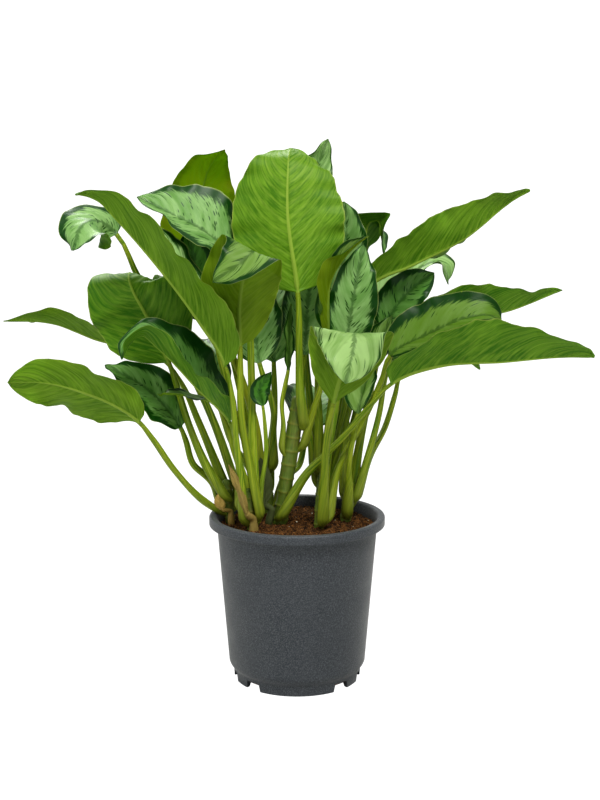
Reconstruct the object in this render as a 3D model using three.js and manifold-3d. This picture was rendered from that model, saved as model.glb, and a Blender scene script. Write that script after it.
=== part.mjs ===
// A potted aglaonema (Chinese evergreen): seven canes in a 24 cm nursery pot of peat, with one closed
// solid for each leaf. Millimetres, +Z up. The origin is on the pot's axis, where it stands. The plant's
// front is -Y and its left is -X.
import * as THREE from "three";
import { mergeVertices } from "three/addons/utils/BufferGeometryUtils.js";
import Module from "manifold-3d";

const wasm = await Module();
wasm.setup();

// Driving dimensions of the pot and its soil
const POT_HEIGHT = 228;
const RIM_RADIUS = 120;
const LIP_DROP = 13; // the rolled lip's height
const LIP_ROUND = 3; // how far its top edges are rounded over
const BODY_TOP_RADIUS = 109.5;
const BODY_FOOT_RADIUS = 94;
const FOOT_RADIUS = 87; // the foot ring under the body's bottom step
const FOOT_RING = 6; // the ring's width where it stands
const STEP_HEIGHT = 24;
const WALL = 1.8;
const BASE_UNDERSIDE = 5; // the base plate is raised on the foot ring and a centre pad
const BASE_THICKNESS = 2.2;
const PAD_RADIUS = 18;
const POT_SIDES = 48;
const GAP = 0.35; // between pieces that touch
const SOIL_EDGE = 212; // the soil's height at the wall, and at the middle
const SOIL_MIDDLE = 215;

// Drainage notches: three pairs through the foot of the wall
const NOTCH_PAIRS = [60, 180, 300]; // degrees round from the front
const NOTCH_SPREAD = 17; // each notch's angle from the middle of its pair
const NOTCH_WIDTH = 25;
const NOTCH_HEIGHT = 11;
const NOTCH_CUT = 24; // how deep the cut is, enough to pass through the ring

// Canes
const CANE_DEPTH = 26; // how far each one stands in the soil
const CANE_SIDES = 10;
const NODE_SPACING = 19; // between a cane's leaf scars
const NODE_SWELL = 1.1; // how far the ring of a scar stands out
const NODE_HALF_HEIGHT = 2.2;

// Leaves
const SPINE_STEPS = 200; // divisions used to measure along a spine
const FOOT_RISE = 16; // how far a petiole's foot follows its cane
const BLADE_HALF_THICKNESS = 0.65;
const PETIOLE_FOOT_RADIUS = 5.2;
const PETIOLE_RADIUS = 3.3; // where it meets the blade
const PETIOLE_TAPER = 0.6; // powers of how quickly the petiole and the midrib thin out
const MIDRIB_TIP_RADIUS = 0.5;
const MIDRIB_TAPER = 0.7;
const KEEL_SHARE = 0.8; // how far the midrib stands out below, to its radius
const KEEL_WIDTH = 0.3; // the widest that its foot may be, to the half blade's width
const MARGIN_WAVES = 1.6; // rises and falls of each margin along the blade
const WAVE_LAG = 0.4; // how far the right margin's are behind the left's
const WAVE_START = 0.3; // the share of the half width where they begin
const BASE_ROUNDNESS = 0.55; // powers of the blade's outline: a small one is blunt, a large one is drawn out
const TIP_SHARPNESS = 0.8;
const PETIOLE_STATIONS = [0, 0.25, 0.55, 0.85];
const BLADE_STATIONS = [0, 0.03, 0.1, 0.2, 0.32, 0.44, 0.56, 0.68, 0.8, 0.9, 0.97];
const UPPER_COLUMNS = 4; // of the ten strips along a leaf, the ones of its upper side
const OVAL_DEGREES = [180, 135, 90, 45, 0, -35, -62, -90, -118, -145]; // a petiole's ten points
const OVAL_ABOVE = 0.6; // how deep the oval is above and below, to its half width
const OVAL_BELOW = 0.95;

const vector = (p) => new THREE.Vector3(...p);
const radians = THREE.MathUtils.degToRad;

const materials = {
  pot: new THREE.MeshStandardMaterial({ color: 0x45484d, roughness: 0.62, metalness: 0 }),
  soil: new THREE.MeshStandardMaterial({ color: 0x3d2412, roughness: 0.98, metalness: 0 }),
  cane: new THREE.MeshStandardMaterial({ color: 0x6f7a2a, roughness: 0.6, metalness: 0 }),
  leaf: new THREE.MeshStandardMaterial({ color: 0x4f8a2c, roughness: 0.45, metalness: 0 }),
  sheath: new THREE.MeshStandardMaterial({ color: 0xa98f52, roughness: 0.8, metalness: 0 }),
};

// ---------------------------------------------------------------- solids and cuts

function toSolid(geometry) {
  const bare = geometry.clone();
  bare.deleteAttribute("normal");
  bare.deleteAttribute("uv");
  const merged = mergeVertices(bare, 1e-3);
  return new wasm.Manifold(
    new wasm.Mesh({
      numProp: 3,
      vertProperties: merged.attributes.position.array,
      triVerts: new Uint32Array(merged.index.array),
    }),
  );
}

function toGeometry(solid) {
  const made = solid.getMesh();
  const geometry = new THREE.BufferGeometry();
  geometry.setAttribute("position", new THREE.BufferAttribute(made.vertProperties.slice(), 3));
  geometry.setIndex(new THREE.BufferAttribute(made.triVerts.slice(), 1));
  geometry.computeVertexNormals();
  return geometry;
}

// A turned solid about Z from [radius, height] pairs that start and end on the axis, bottom first.
function turned(profile, sides) {
  const points = profile.map(([radius, height]) => new THREE.Vector2(radius, height));
  return new THREE.LatheGeometry(points, sides).rotateX(Math.PI / 2);
}

// ---------------------------------------------------------------- pot and soil

const innerRadius = (height) =>
  THREE.MathUtils.mapLinear(
    height,
    STEP_HEIGHT,
    POT_HEIGHT - LIP_DROP,
    BODY_FOOT_RADIUS - WALL,
    BODY_TOP_RADIUS - WALL,
  );

function pot() {
  const lipUnderside = POT_HEIGHT - LIP_DROP;
  const baseTop = BASE_UNDERSIDE + BASE_THICKNESS;
  const inwardAtFoot = FOOT_RADIUS - FOOT_RING;
  const body = turned(
    [
      [0, 0],
      [PAD_RADIUS, 0],
      [PAD_RADIUS + 1.5, BASE_UNDERSIDE],
      [inwardAtFoot - 1, BASE_UNDERSIDE],
      [inwardAtFoot, 0],
      [FOOT_RADIUS - 0.8, 0],
      [FOOT_RADIUS, 1],
      [FOOT_RADIUS + 0.8, STEP_HEIGHT / 2],
      [BODY_FOOT_RADIUS - 2.5, STEP_HEIGHT - 5],
      [BODY_FOOT_RADIUS, STEP_HEIGHT],
      [BODY_TOP_RADIUS, lipUnderside + 1],
      [RIM_RADIUS - LIP_ROUND, lipUnderside],
      [RIM_RADIUS - 0.8, lipUnderside + 1.5],
      [RIM_RADIUS, POT_HEIGHT - LIP_ROUND],
      [RIM_RADIUS - 1, POT_HEIGHT - 0.7],
      [RIM_RADIUS - LIP_ROUND, POT_HEIGHT],
      [RIM_RADIUS - 7, POT_HEIGHT - 0.5],
      [RIM_RADIUS - 10, POT_HEIGHT - 3.5],
      [innerRadius(lipUnderside), lipUnderside],
      [innerRadius(STEP_HEIGHT), STEP_HEIGHT],
      [FOOT_RADIUS + 0.8 - WALL, STEP_HEIGHT / 2],
      [FOOT_RADIUS - 2.5, baseTop],
      [0, baseTop],
    ],
    POT_SIDES,
  );
  let solid = toSolid(body);
  for (const pair of NOTCH_PAIRS) {
    for (const side of [-1, 1]) {
      const notch = new THREE.BoxGeometry(NOTCH_WIDTH, NOTCH_CUT, NOTCH_HEIGHT + 2)
        .translate(0, -FOOT_RADIUS, NOTCH_HEIGHT / 2 - 1)
        .rotateZ(radians(pair + side * NOTCH_SPREAD));
      solid = solid.subtract(toSolid(notch));
    }
  }
  return new THREE.Mesh(toGeometry(solid), materials.pot);
}

// The soil fills the pot, with a hole where each cane stands in it.
function soil(canes) {
  const bottom = BASE_UNDERSIDE + BASE_THICKNESS + GAP;
  const fill = turned(
    [
      [0, bottom],
      [FOOT_RADIUS - 4, bottom],
      [FOOT_RADIUS - 2, STEP_HEIGHT / 2],
      [innerRadius(STEP_HEIGHT) - GAP, STEP_HEIGHT],
      [innerRadius(SOIL_EDGE) - GAP, SOIL_EDGE],
      [0, SOIL_MIDDLE],
    ],
    POT_SIDES,
  );
  let solid = toSolid(fill);
  const holeTop = POT_HEIGHT - SOIL_EDGE;
  for (const cane of canes) {
    const holeRadius = cane.radius + NODE_SWELL + GAP;
    const hole = turned(
      [
        [0, -CANE_DEPTH - GAP],
        [holeRadius, -CANE_DEPTH - GAP],
        [holeRadius, holeTop],
        [0, holeTop],
      ],
      CANE_SIDES,
    ).applyMatrix4(cane.matrix);
    solid = solid.subtract(toSolid(hole));
  }
  return new THREE.Mesh(toGeometry(solid), materials.soil);
}

// ---------------------------------------------------------------- canes

// Each cane stands at a point of the soil's surface and leans by so much for each millimetre it rises.
function caneAt([x, y], [leanX, leanY], height, radius) {
  const base = new THREE.Vector3(x, y, SOIL_EDGE);
  const axis = new THREE.Vector3(leanX, leanY, 1).normalize();
  const turn = new THREE.Quaternion().setFromUnitVectors(new THREE.Vector3(0, 0, 1), axis);
  const matrix = new THREE.Matrix4().compose(base, turn, new THREE.Vector3(1, 1, 1));
  return { base, axis, turn, matrix, height, radius };
}

const CANES = {
  left: caneAt([-92, 12], [-0.1, 0.05], 62, 6.5),
  front_left: caneAt([-60, -30], [-0.08, -0.05], 60, 7),
  centre: caneAt([-24, 2], [0.15, 0.02], 180, 10),
  front_right: caneAt([30, -28], [0.02, -0.05], 50, 6.5),
  right: caneAt([66, 12], [0.12, 0.05], 60, 7),
  back_left: caneAt([-40, 62], [-0.08, 0.12], 90, 7.5),
  back_right: caneAt([32, 62], [0.08, 0.12], 90, 7.5),
};

function cane({ base, turn, height, radius }) {
  const profile = [
    [0, -CANE_DEPTH],
    [radius - 1.5, -CANE_DEPTH],
    [radius, -CANE_DEPTH + 3],
  ];
  for (let z = NODE_SPACING / 2; z < height - 8; z += NODE_SPACING) {
    profile.push([radius, z - NODE_HALF_HEIGHT]);
    profile.push([radius + NODE_SWELL, z]);
    profile.push([radius, z + NODE_HALF_HEIGHT]);
  }
  profile.push([radius - 0.5, height - 5], [radius - 3, height - 1], [0, height]);
  const mesh = new THREE.Mesh(turned(profile, CANE_SIDES), materials.cane);
  mesh.position.copy(base);
  mesh.quaternion.copy(turn);
  return mesh;
}

// ---------------------------------------------------------------- leaves

// The share of its full width that a blade has at a share of its length: a power curve at each end.
function outline(share, base, tip) {
  const widest = base / (base + tip);
  const raw = (s) => s ** base * (1 - s) ** tip;
  return raw(share) / raw(widest);
}

// One of several directions, spread evenly from 0 to 1.
function directionAt(directions, share) {
  const place = share * (directions.length - 1);
  const i = Math.min(Math.floor(place), directions.length - 2);
  return directions[i].clone().lerp(directions[i + 1], place - i);
}

// The spine starts beside its cane, follows the petiole and runs out along the midrib.
function spineOf(leaf) {
  const { base, axis, radius } = CANES[leaf.cane];
  const around = radians(leaf.around);
  const outward = new THREE.Vector3(Math.sin(around), -Math.cos(around), 0);
  outward.addScaledVector(axis, -outward.dot(axis)).normalize();
  const foot = base
    .clone()
    .addScaledVector(axis, leaf.rise)
    .addScaledVector(outward, radius + NODE_SWELL + leaf.footRadius + GAP);
  const points = [foot, foot.clone().addScaledVector(axis, FOOT_RISE)];
  points.push(...leaf.petiole.map(vector));
  const joint = points.length;
  points.push(...leaf.blade.map(vector));
  const curve = new THREE.CatmullRomCurve3(points, false, "centripetal");
  const lengths = curve.getLengths(SPINE_STEPS);
  const jointStep = Math.round((SPINE_STEPS * joint) / (points.length - 1));
  const jointShare = lengths[jointStep] / lengths[SPINE_STEPS];
  return { curve, jointShare, inward: outward.negate() };
}

// Ten points round one section, clockwise as seen from the foot: margin, three on the upper side,
// margin, five on the underside with the midrib's keel in the middle. Each half is straight out to its
// middle, and turns there by its curl.
function section(centre, right, up, radius, left, rightHalf) {
  const place = (half, side, share) => {
    const bend = half.fold + half.curl;
    const straight = half.width * Math.min(share, 0.5);
    const beyond = half.width * Math.max(share - 0.5, 0);
    const lift = half.wave * Math.max(share - WAVE_START, 0) ** 2;
    const across = straight * Math.cos(half.fold) + beyond * Math.cos(bend);
    const raised = straight * Math.sin(half.fold) + beyond * Math.sin(bend) + lift;
    return centre.clone().addScaledVector(right, side * across).addScaledVector(up, raised);
  };
  const faceOf = (half, side) =>
    up
      .clone()
      .multiplyScalar(Math.cos(half.fold))
      .addScaledVector(right, -side * Math.sin(half.fold))
      .multiplyScalar(BLADE_HALF_THICKNESS);
  const leftFace = faceOf(left, -1);
  const rightFace = faceOf(rightHalf, 1);
  const nearLeft = Math.min(radius / left.width, KEEL_WIDTH);
  const nearRight = Math.min(radius / rightHalf.width, KEEL_WIDTH);
  return [
    place(left, -1, 1),
    place(left, -1, 0.5).add(leftFace),
    centre.clone().addScaledVector(up, BLADE_HALF_THICKNESS),
    place(rightHalf, 1, 0.5).add(rightFace),
    place(rightHalf, 1, 1),
    place(rightHalf, 1, 0.5).sub(rightFace),
    place(rightHalf, 1, nearRight).sub(rightFace),
    centre.clone().addScaledVector(up, -BLADE_HALF_THICKNESS - KEEL_SHARE * radius),
    place(left, -1, nearLeft).sub(leftFace),
    place(left, -1, 0.5).sub(leftFace),
  ];
}

// A petiole's section has the same ten points in an oval that is a little flat on its upper side.
function ovalSection(centre, right, up, radius) {
  return OVAL_DEGREES.map((angle) => {
    const flat = angle > 0 ? OVAL_ABOVE : OVAL_BELOW;
    return centre
      .clone()
      .addScaledVector(right, radius * Math.cos(radians(angle)))
      .addScaledVector(up, flat * radius * Math.sin(radians(angle)));
  });
}

function leafGeometry(leaf) {
  const { curve, jointShare, inward } = spineOf(leaf);
  const faces = leaf.faces.map((face) => vector(face).normalize());
  const rings = [];
  const sectionAt = (share, up, make) => {
    const along = curve.getTangentAt(share);
    const upright = up.addScaledVector(along, -up.dot(along)).normalize();
    const right = along.clone().cross(upright);
    rings.push(make(curve.getPointAt(share), right, upright));
  };
  for (const station of PETIOLE_STATIONS) {
    const radius = THREE.MathUtils.lerp(leaf.footRadius, leaf.jointRadius, station ** PETIOLE_TAPER);
    sectionAt(station * jointShare, inward.clone().lerp(faces[0], station), (centre, right, up) =>
      ovalSection(centre, right, up, radius),
    );
  }
  for (const station of BLADE_STATIONS) {
    const share = jointShare + (1 - jointShare) * station;
    const radius = THREE.MathUtils.lerp(leaf.jointRadius, MIDRIB_TIP_RADIUS, station ** MIDRIB_TAPER);
    const halves = [0, 1].map((i) => ({
      width: Math.max(leaf.width[i] * outline(station, leaf.base, leaf.tip), radius),
      fold: radians(leaf.fold[i]),
      curl: radians(leaf.curl[i]),
      wave: leaf.wave * Math.sin(2 * Math.PI * (MARGIN_WAVES * station + WAVE_LAG * i + leaf.phase)),
    }));
    sectionAt(share, directionAt(faces, station), (centre, right, up) =>
      station === 0
        ? ovalSection(centre, right, up, radius)
        : section(centre, right, up, radius, halves[0], halves[1]),
    );
  }
  return loft(rings, curve.getPoint(0), curve.getPoint(1));
}

// Joins the rings, and closes the ends on a point each. The underside's quads are split the same way
// as the ones above them, so that the two walls of a twisted blade stay apart.
function loft(rings, first, last) {
  const count = rings[0].length;
  const vertices = [first, ...rings.flat(), last];
  const at = (ring, j) => 1 + ring * count + (j % count);
  const end = vertices.length - 1;
  const triangles = [];
  for (let j = 0; j < count; j++) {
    triangles.push(0, at(0, j + 1), at(0, j));
    triangles.push(end, at(rings.length - 1, j), at(rings.length - 1, j + 1));
    for (let ring = 0; ring < rings.length - 1; ring++) {
      const [a, b, c, d] = [at(ring, j), at(ring, j + 1), at(ring + 1, j + 1), at(ring + 1, j)];
      if (j < UPPER_COLUMNS) triangles.push(a, b, c, a, c, d);
      else triangles.push(a, b, d, b, c, d);
    }
  }
  const geometry = new THREE.BufferGeometry().setFromPoints(vertices);
  geometry.setIndex(triangles);
  geometry.computeVertexNormals();
  return geometry;
}

// cane: where it grows, around: degrees round the cane from the front, rise: above the soil's edge;
// petiole and blade: points of the spine, the blade's first being the joint and its last the tip;
// width: of the halves on the left and right as seen from the foot with the upper side up;
// faces: where the upper side looks, from the joint to the tip; fold: degrees each half is raised;
// curl: how much more its outer part is; wave: the margin's rise and fall; base and tip: the powers of
// the outline's two ends.
const LEAF = {
  fold: [14, 14],
  curl: [0, 0],
  wave: 10,
  phase: 0,
  base: BASE_ROUNDNESS,
  tip: TIP_SHARPNESS,
  footRadius: PETIOLE_FOOT_RADIUS,
  jointRadius: PETIOLE_RADIUS,
};

const LEAVES = {
  // the tall upright leaf in the middle, its tip bent over backwards
  leaf_centre_tall: {
    cane: "centre", around: 40, rise: 150,
    petiole: [[3, -20, 405], [3, -20, 470]],
    blade: [[1, -18, 532], [-12, -12, 630], [-11, 12, 707], [-8, 55, 721]],
    width: [76, 76], faces: [[0, 1, 0], [0, 1, 0], [0, 0.3, -1]], fold: [10, 10],
  },
  // a folded leaf near the front whose upper part hangs over forwards
  leaf_front_folded: {
    cane: "front_left", around: 60, rise: 30,
    petiole: [[-70, -52, 340], [-73, -62, 420]],
    blade: [
      [-73, -68, 467], [-73, -74, 520], [-66, -84, 558],
      [-50, -100, 591], [-66, -118, 577], [-104, -124, 552],
    ],
    width: [46, 54], fold: [6, 6], wave: 4,
    faces: [[0, 1, 0], [0.1, 1, 0], [0.25, 0.9, 0.4], [0.3, -0.5, 0.8], [0.2, -1, 0.4]],
  },
  leaf_front_cupped: {
    cane: "front_right", around: 20, rise: 22,
    petiole: [[39, -68, 344]],
    blade: [
      [47, -88, 396], [56, -98, 433], [66, -106, 468],
      [72, -120, 491], [69, -138, 468], [60, -144, 428],
    ],
    width: [54, 54], faces: [[-0.2, 1, 0.1], [-0.2, 1, 0.1], [0, 0.4, 1], [0, -1, 0.4]], fold: [8, 8],
    wave: 3, base: 0.85,
  },
  leaf_left_long: {
    cane: "front_left", around: -40, rise: 24,
    petiole: [[-78, -56, 330]],
    blade: [
      [-92, -62, 439], [-127, -70, 500], [-171, -74, 561],
      [-225, -84, 626], [-255, -90, 655], [-276, -92, 658],
    ],
    width: [58, 62], faces: [[0.8, 0.1, 0.5], [0.7, -0.1, 0.65], [0.6, 0, 0.8]],
    fold: [58, 30], curl: [-14, 0],
  },
  leaf_left_low: {
    cane: "left", around: -70, rise: 18,
    petiole: [[-130, -8, 252], [-163, -30, 295]],
    blade: [[-206, -60, 366], [-233, -75, 389], [-275, -90, 410], [-318, -100, 423], [-366, -102, 424]],
    width: [42, 46], faces: [[0.3, 0.8, 0.5], [0.1, 0.9, 0.4]], fold: [6, 4], wave: 14, tip: 0.7,
  },
  leaf_left_low_inner: {
    cane: "left", around: -120, rise: 34,
    petiole: [[-139, 10, 290]],
    blade: [[-158, 4, 347], [-197, -6, 398], [-255, -20, 436]],
    width: [38, 36], faces: [[0.3, -0.6, 0.6], [0, -0.6, 0.8]], fold: [14, 14],
  },
  leaf_left_drooping: {
    cane: "front_left", around: -100, rise: 40,
    petiole: [[-76, -30, 300]],
    blade: [[-89, -24, 359], [-129, -40, 405], [-173, -58, 456], [-204, -70, 480], [-224, -80, 450]],
    width: [42, 50], faces: [[0.8, 0.1, 0.5], [0.7, 0, 0.7], [-0.3, 0, 1]], fold: [34, 60],
  },
  leaf_left_broad: {
    cane: "left", around: -20, rise: 44,
    petiole: [[-120, -2, 290], [-146, 2, 350]],
    blade: [[-172, 0, 436], [-196, -6, 491], [-220, -12, 540], [-224, 14, 556], [-214, 44, 534]],
    width: [60, 70], faces: [[0.2, 1, 0], [0, 1, 0], [0, 1, 0], [0, 0.3, -0.95], [0, -0.4, -0.9]],
    fold: [14, 8], wave: 9,
  },
  leaf_left_narrow: {
    cane: "left", around: 170, rise: 30,
    petiole: [[-118, 38, 300], [-146, 46, 370]],
    blade: [[-184, 56, 432], [-278, 52, 462], [-334, 26, 487], [-393, 2, 492]],
    width: [40, 40], faces: [[0.2, 0.1, 1], [0, 0, 1]], fold: [34, 10],
  },
  leaf_left_arching: {
    cane: "left", around: 110, rise: 50,
    petiole: [[-108, 40, 330], [-160, 56, 440], [-210, 56, 530]],
    blade: [[-247, 58, 606], [-268, 40, 624], [-286, 14, 620], [-294, -16, 586]],
    width: [46, 36], faces: [[0.3, -0.8, 0.4], [0, -0.5, 0.9], [-0.5, -0.3, 0.6]], fold: [-20, 4],
  },
  leaf_left_silver: {
    cane: "front_left", around: 150, rise: 44,
    petiole: [[-62, 12, 380], [-64, 12, 480]],
    blade: [[-80, 4, 570], [-121, -4, 610], [-165, -10, 634], [-209, -15, 656]],
    width: [44, 62], faces: [[0.3, -0.8, 0.5], [0.1, -0.7, 0.7]], fold: [30, 8], wave: 8,
  },
  leaf_left_inner: {
    cane: "back_left", around: -50, rise: 50,
    petiole: [[-80, 36, 340], [-98, 32, 410]],
    blade: [[-117, 30, 490], [-136, 30, 557], [-146, 26, 612]],
    width: [40, 40], faces: [[0, -1, 0.3], [0, -1, 0.3]],
  },
  leaf_left_small: {
    cane: "front_left", around: -170, rise: 30,
    petiole: [[-80, -4, 300]],
    blade: [[-109, 2, 378], [-148, -16, 394], [-184, -40, 400]],
    width: [18, 18], faces: [[0.5, 0, 1], [0, 0, 1]], fold: [8, 8],
  },
  leaf_back_high_left: {
    cane: "back_left", around: -30, rise: 70,
    petiole: [[-64, 54, 370], [-92, 70, 440]],
    blade: [[-120, 86, 507], [-138, 94, 608], [-122, 88, 694], [-98, 64, 720]],
    width: [58, 54], faces: [[0, 1, 0], [0, 1, 0], [0, 0.4, 1]], fold: [8, 8],
  },
  leaf_back_high_right: {
    cane: "back_right", around: -30, rise: 74,
    petiole: [[28, 70, 400], [26, 84, 500]],
    blade: [[24, 100, 590], [25, 108, 680], [43, 100, 736]],
    width: [30, 30], faces: [[0, -1, 0.2], [0, -1, 0]],
  },
  leaf_right_inner_high: {
    cane: "back_right", around: 10, rise: 60,
    petiole: [[46, 40, 380], [48, 46, 460]],
    blade: [[54, 52, 529], [67, 50, 591], [64, 44, 650]],
    width: [34, 34], faces: [[-0.2, -1, 0.2], [-0.2, -1, 0.2]],
  },
  leaf_right_inner_drooping: {
    cane: "back_right", around: 88, rise: 76,
    petiole: [[72, 88, 390], [78, 92, 470]],
    blade: [[82, 94, 535], [92, 94, 594], [108, 88, 630], [122, 74, 574]],
    width: [34, 34], faces: [[-0.8, 0.5, 0.2], [-0.4, 0.6, 0.8], [0.9, -0.2, 0.5]],
  },
  leaf_right_high: {
    cane: "right", around: -155, rise: 44,
    petiole: [[68, 34, 350], [80, 20, 450]],
    blade: [[100, 2, 540], [147, -6, 564], [220, -16, 602], [279, -10, 649], [306, -4, 664]],
    width: [42, 50], faces: [[-0.3, 0.8, 0.4], [-0.35, 0.75, 0.5]], fold: [50, 10], wave: 14,
  },
  leaf_right_hooked: {
    cane: "back_right", around: 130, rise: 44,
    petiole: [[84, 84, 340], [94, 80, 430]],
    blade: [[114, 78, 513], [159, 72, 552], [198, 62, 567], [208, 54, 537]],
    width: [34, 34], faces: [[0, -0.5, 0.8], [0.2, -0.4, 0.85], [0.8, 0, 0.4]], fold: [20, 10],
  },
  leaf_right_dark: {
    cane: "right", around: 152, rise: 34,
    petiole: [[90, 42, 340], [106, 38, 410]],
    blade: [[119, 28, 480], [147, 22, 526], [184, 14, 556]],
    width: [32, 34], faces: [[-0.2, -0.9, 0.3], [0, -0.9, 0.4]],
  },
  leaf_centre_silver: {
    cane: "front_right", around: 165, rise: 32,
    petiole: [[44, 6, 320], [56, 2, 400]],
    blade: [[64, -10, 454], [74, -16, 522], [83, -14, 571], [88, -8, 594]],
    width: [34, 34], faces: [[0, -1, 0.1], [0, -1, 0.1]],
  },
  leaf_centre_rolled: {
    cane: "centre", around: 80, rise: 120,
    petiole: [[30, -12, 400]],
    blade: [[40, -28, 480], [44, -32, 547], [68, -36, 585], [93, -34, 606]],
    width: [16, 22], faces: [[-0.6, -0.2, 0.2], [-0.5, -0.3, 0.6]], fold: [64, 64],
  },
  leaf_right_silver: {
    cane: "front_right", around: 88, rise: 24,
    petiole: [[58, -2, 300], [86, 4, 350], [110, -14, 404]],
    blade: [[123, -32, 450], [172, -40, 479], [219, -48, 500], [251, -48, 503], [273, -36, 486]],
    width: [46, 36], faces: [[-0.2, -0.7, 0.6], [-0.1, -0.75, 0.65], [0.3, -0.5, 0.8]], fold: [14, 30],
  },
  leaf_right_long: {
    cane: "right", around: 58, rise: 44,
    petiole: [[104, 6, 330], [118, 18, 400]],
    blade: [[134, 34, 452], [202, 34, 488], [282, 28, 502], [359, 26, 532]],
    width: [34, 48], faces: [[-0.3, 0.2, 0.9], [0, 0.2, 0.95]], fold: [16, 50],
  },
  leaf_right_low: {
    cane: "centre", around: 10, rise: 22,
    petiole: [[24, -12, 298], [79, -25, 358]],
    blade: [[123, -45, 414], [188, -70, 441], [260, -95, 449], [331, -110, 457], [373, -112, 457]],
    width: [50, 62], faces: [[-0.3, 0.1, 1], [0, 0.1, 1]], fold: [26, 52], wave: 16, tip: 0.6,
  },
  leaf_right_slim: {
    cane: "right", around: 0, rise: 22,
    petiole: [[70, -14, 304]],
    blade: [[82, -8, 368], [95, 4, 419], [112, 14, 460], [128, 20, 498]],
    width: [30, 20], faces: [[-0.4, -0.8, 0.3], [-0.4, -0.8, 0.3]], fold: [30, 30],
  },
  leaf_right_dark_inner: {
    cane: "back_right", around: 50, rise: 30,
    petiole: [[68, 44, 350], [86, 44, 420]],
    blade: [[98, 46, 456], [119, 46, 500], [138, 46, 538]],
    width: [30, 30], faces: [[-0.2, -1, 0.2], [-0.2, -1, 0.2]],
  },
  leaf_young_left: {
    cane: "front_left", around: 110, rise: 20,
    petiole: [[-42, -18, 310]],
    blade: [[-46, -8, 379], [-51, -4, 398], [-35, -2, 424]],
    width: [13, 15], faces: [[0, -1, 0], [0, -1, 0]], footRadius: 3.5, jointRadius: 2, wave: 0,
  },
  leaf_young_centre: {
    cane: "centre", around: -60, rise: 112,
    petiole: [[-20, 6, 385]],
    blade: [[-12, 15, 424], [-11, 20, 472], [-8, 24, 514]],
    width: [10, 10], faces: [[0, -1, 0], [0, -1, 0]], fold: [50, 50],
    footRadius: 3.5, jointRadius: 2.4, wave: 0,
  },
  leaf_inner_left: {
    cane: "back_left", around: 60, rise: 74,
    petiole: [[-34, 44, 370]],
    blade: [[-52, 46, 430], [-60, 52, 500], [-64, 56, 570]],
    width: [40, 40], faces: [[0, -1, 0.1], [0, -1, 0.1]],
  },
  leaf_inner_centre: {
    cane: "back_right", around: -80, rise: 70,
    petiole: [[7, 65, 368]],
    blade: [[10, 73, 438], [16, 78, 518], [21, 81, 580]],
    width: [38, 38], faces: [[0, -1, 0.1], [0, -1, 0.1]],
  },
  leaf_back_left: {
    cane: "back_left", around: -130, rise: 30,
    petiole: [[-90, 100, 300]],
    blade: [[-118, 128, 370], [-150, 165, 420], [-180, 215, 430], [-205, 260, 405]],
    width: [52, 52], faces: [[0.5, -0.6, 0.6], [0.2, -0.2, 1], [-0.3, 0.4, 0.8]], fold: [18, 18],
  },
  leaf_back_middle: {
    cane: "back_left", around: 170, rise: 40,
    petiole: [[-34, 110, 330]],
    blade: [[-34, 135, 420], [-40, 175, 500], [-50, 240, 540], [-55, 300, 520]],
    width: [60, 60], faces: [[0, -0.9, 0.4], [0, -0.4, 0.9], [0, 0.3, 1]], fold: [16, 16],
  },
  leaf_back_right: {
    cane: "back_right", around: 175, rise: 36,
    petiole: [[62, 120, 320]],
    blade: [[86, 140, 400], [120, 180, 460], [155, 235, 475], [185, 280, 450]],
    width: [56, 56], faces: [[-0.5, -0.6, 0.6], [-0.2, -0.3, 1], [0.3, 0.4, 0.8]], fold: [16, 16],
  },
  leaf_back_tall: {
    cane: "back_right", around: -145, rise: 50,
    petiole: [[16, 100, 380], [10, 112, 470]],
    blade: [[0, 125, 540], [-10, 150, 610], [-20, 195, 650], [-30, 250, 640]],
    width: [58, 58], faces: [[0, -0.9, 0.3], [0, -0.4, 0.9], [0, 0.3, 1]], fold: [14, 14],
  },
  leaf_back_low: {
    cane: "back_left", around: 110, rise: 22,
    petiole: [[0, 100, 270]],
    blade: [[14, 130, 320], [30, 180, 360], [45, 235, 360], [55, 280, 335]],
    width: [50, 50], faces: [[0, -0.8, 0.6], [0, -0.2, 1], [0, 0.4, 0.9]], fold: [18, 18],
  },
  leaf_back_wide_left: {
    cane: "back_left", around: -110, rise: 72,
    petiole: [[-84, 84, 400]],
    blade: [[-104, 104, 468], [-140, 135, 517], [-175, 174, 532], [-205, 208, 512]],
    width: [52, 52], faces: [[0.5, -0.6, 0.5], [0.2, -0.2, 1], [-0.3, 0.4, 0.8]], fold: [16, 16],
  },
  leaf_back_wide_right: {
    cane: "back_right", around: 140, rise: 80,
    petiole: [[70, 100, 400]],
    blade: [[86, 114, 470], [120, 142, 530], [155, 175, 555], [185, 205, 540]],
    width: [50, 50], faces: [[-0.5, -0.6, 0.5], [-0.2, -0.3, 1], [0.3, 0.4, 0.8]], fold: [16, 16],
  },
  leaf_back_far_right: {
    cane: "right", around: 104, rise: 56,
    petiole: [[114, 56, 320], [134, 80, 360]],
    blade: [[146, 95, 405], [180, 125, 430], [230, 150, 430], [270, 165, 405]],
    width: [46, 46], faces: [[-0.5, -0.3, 0.8], [-0.2, -0.1, 1], [0.3, 0.2, 0.9]], fold: [18, 18],
  },
};

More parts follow.
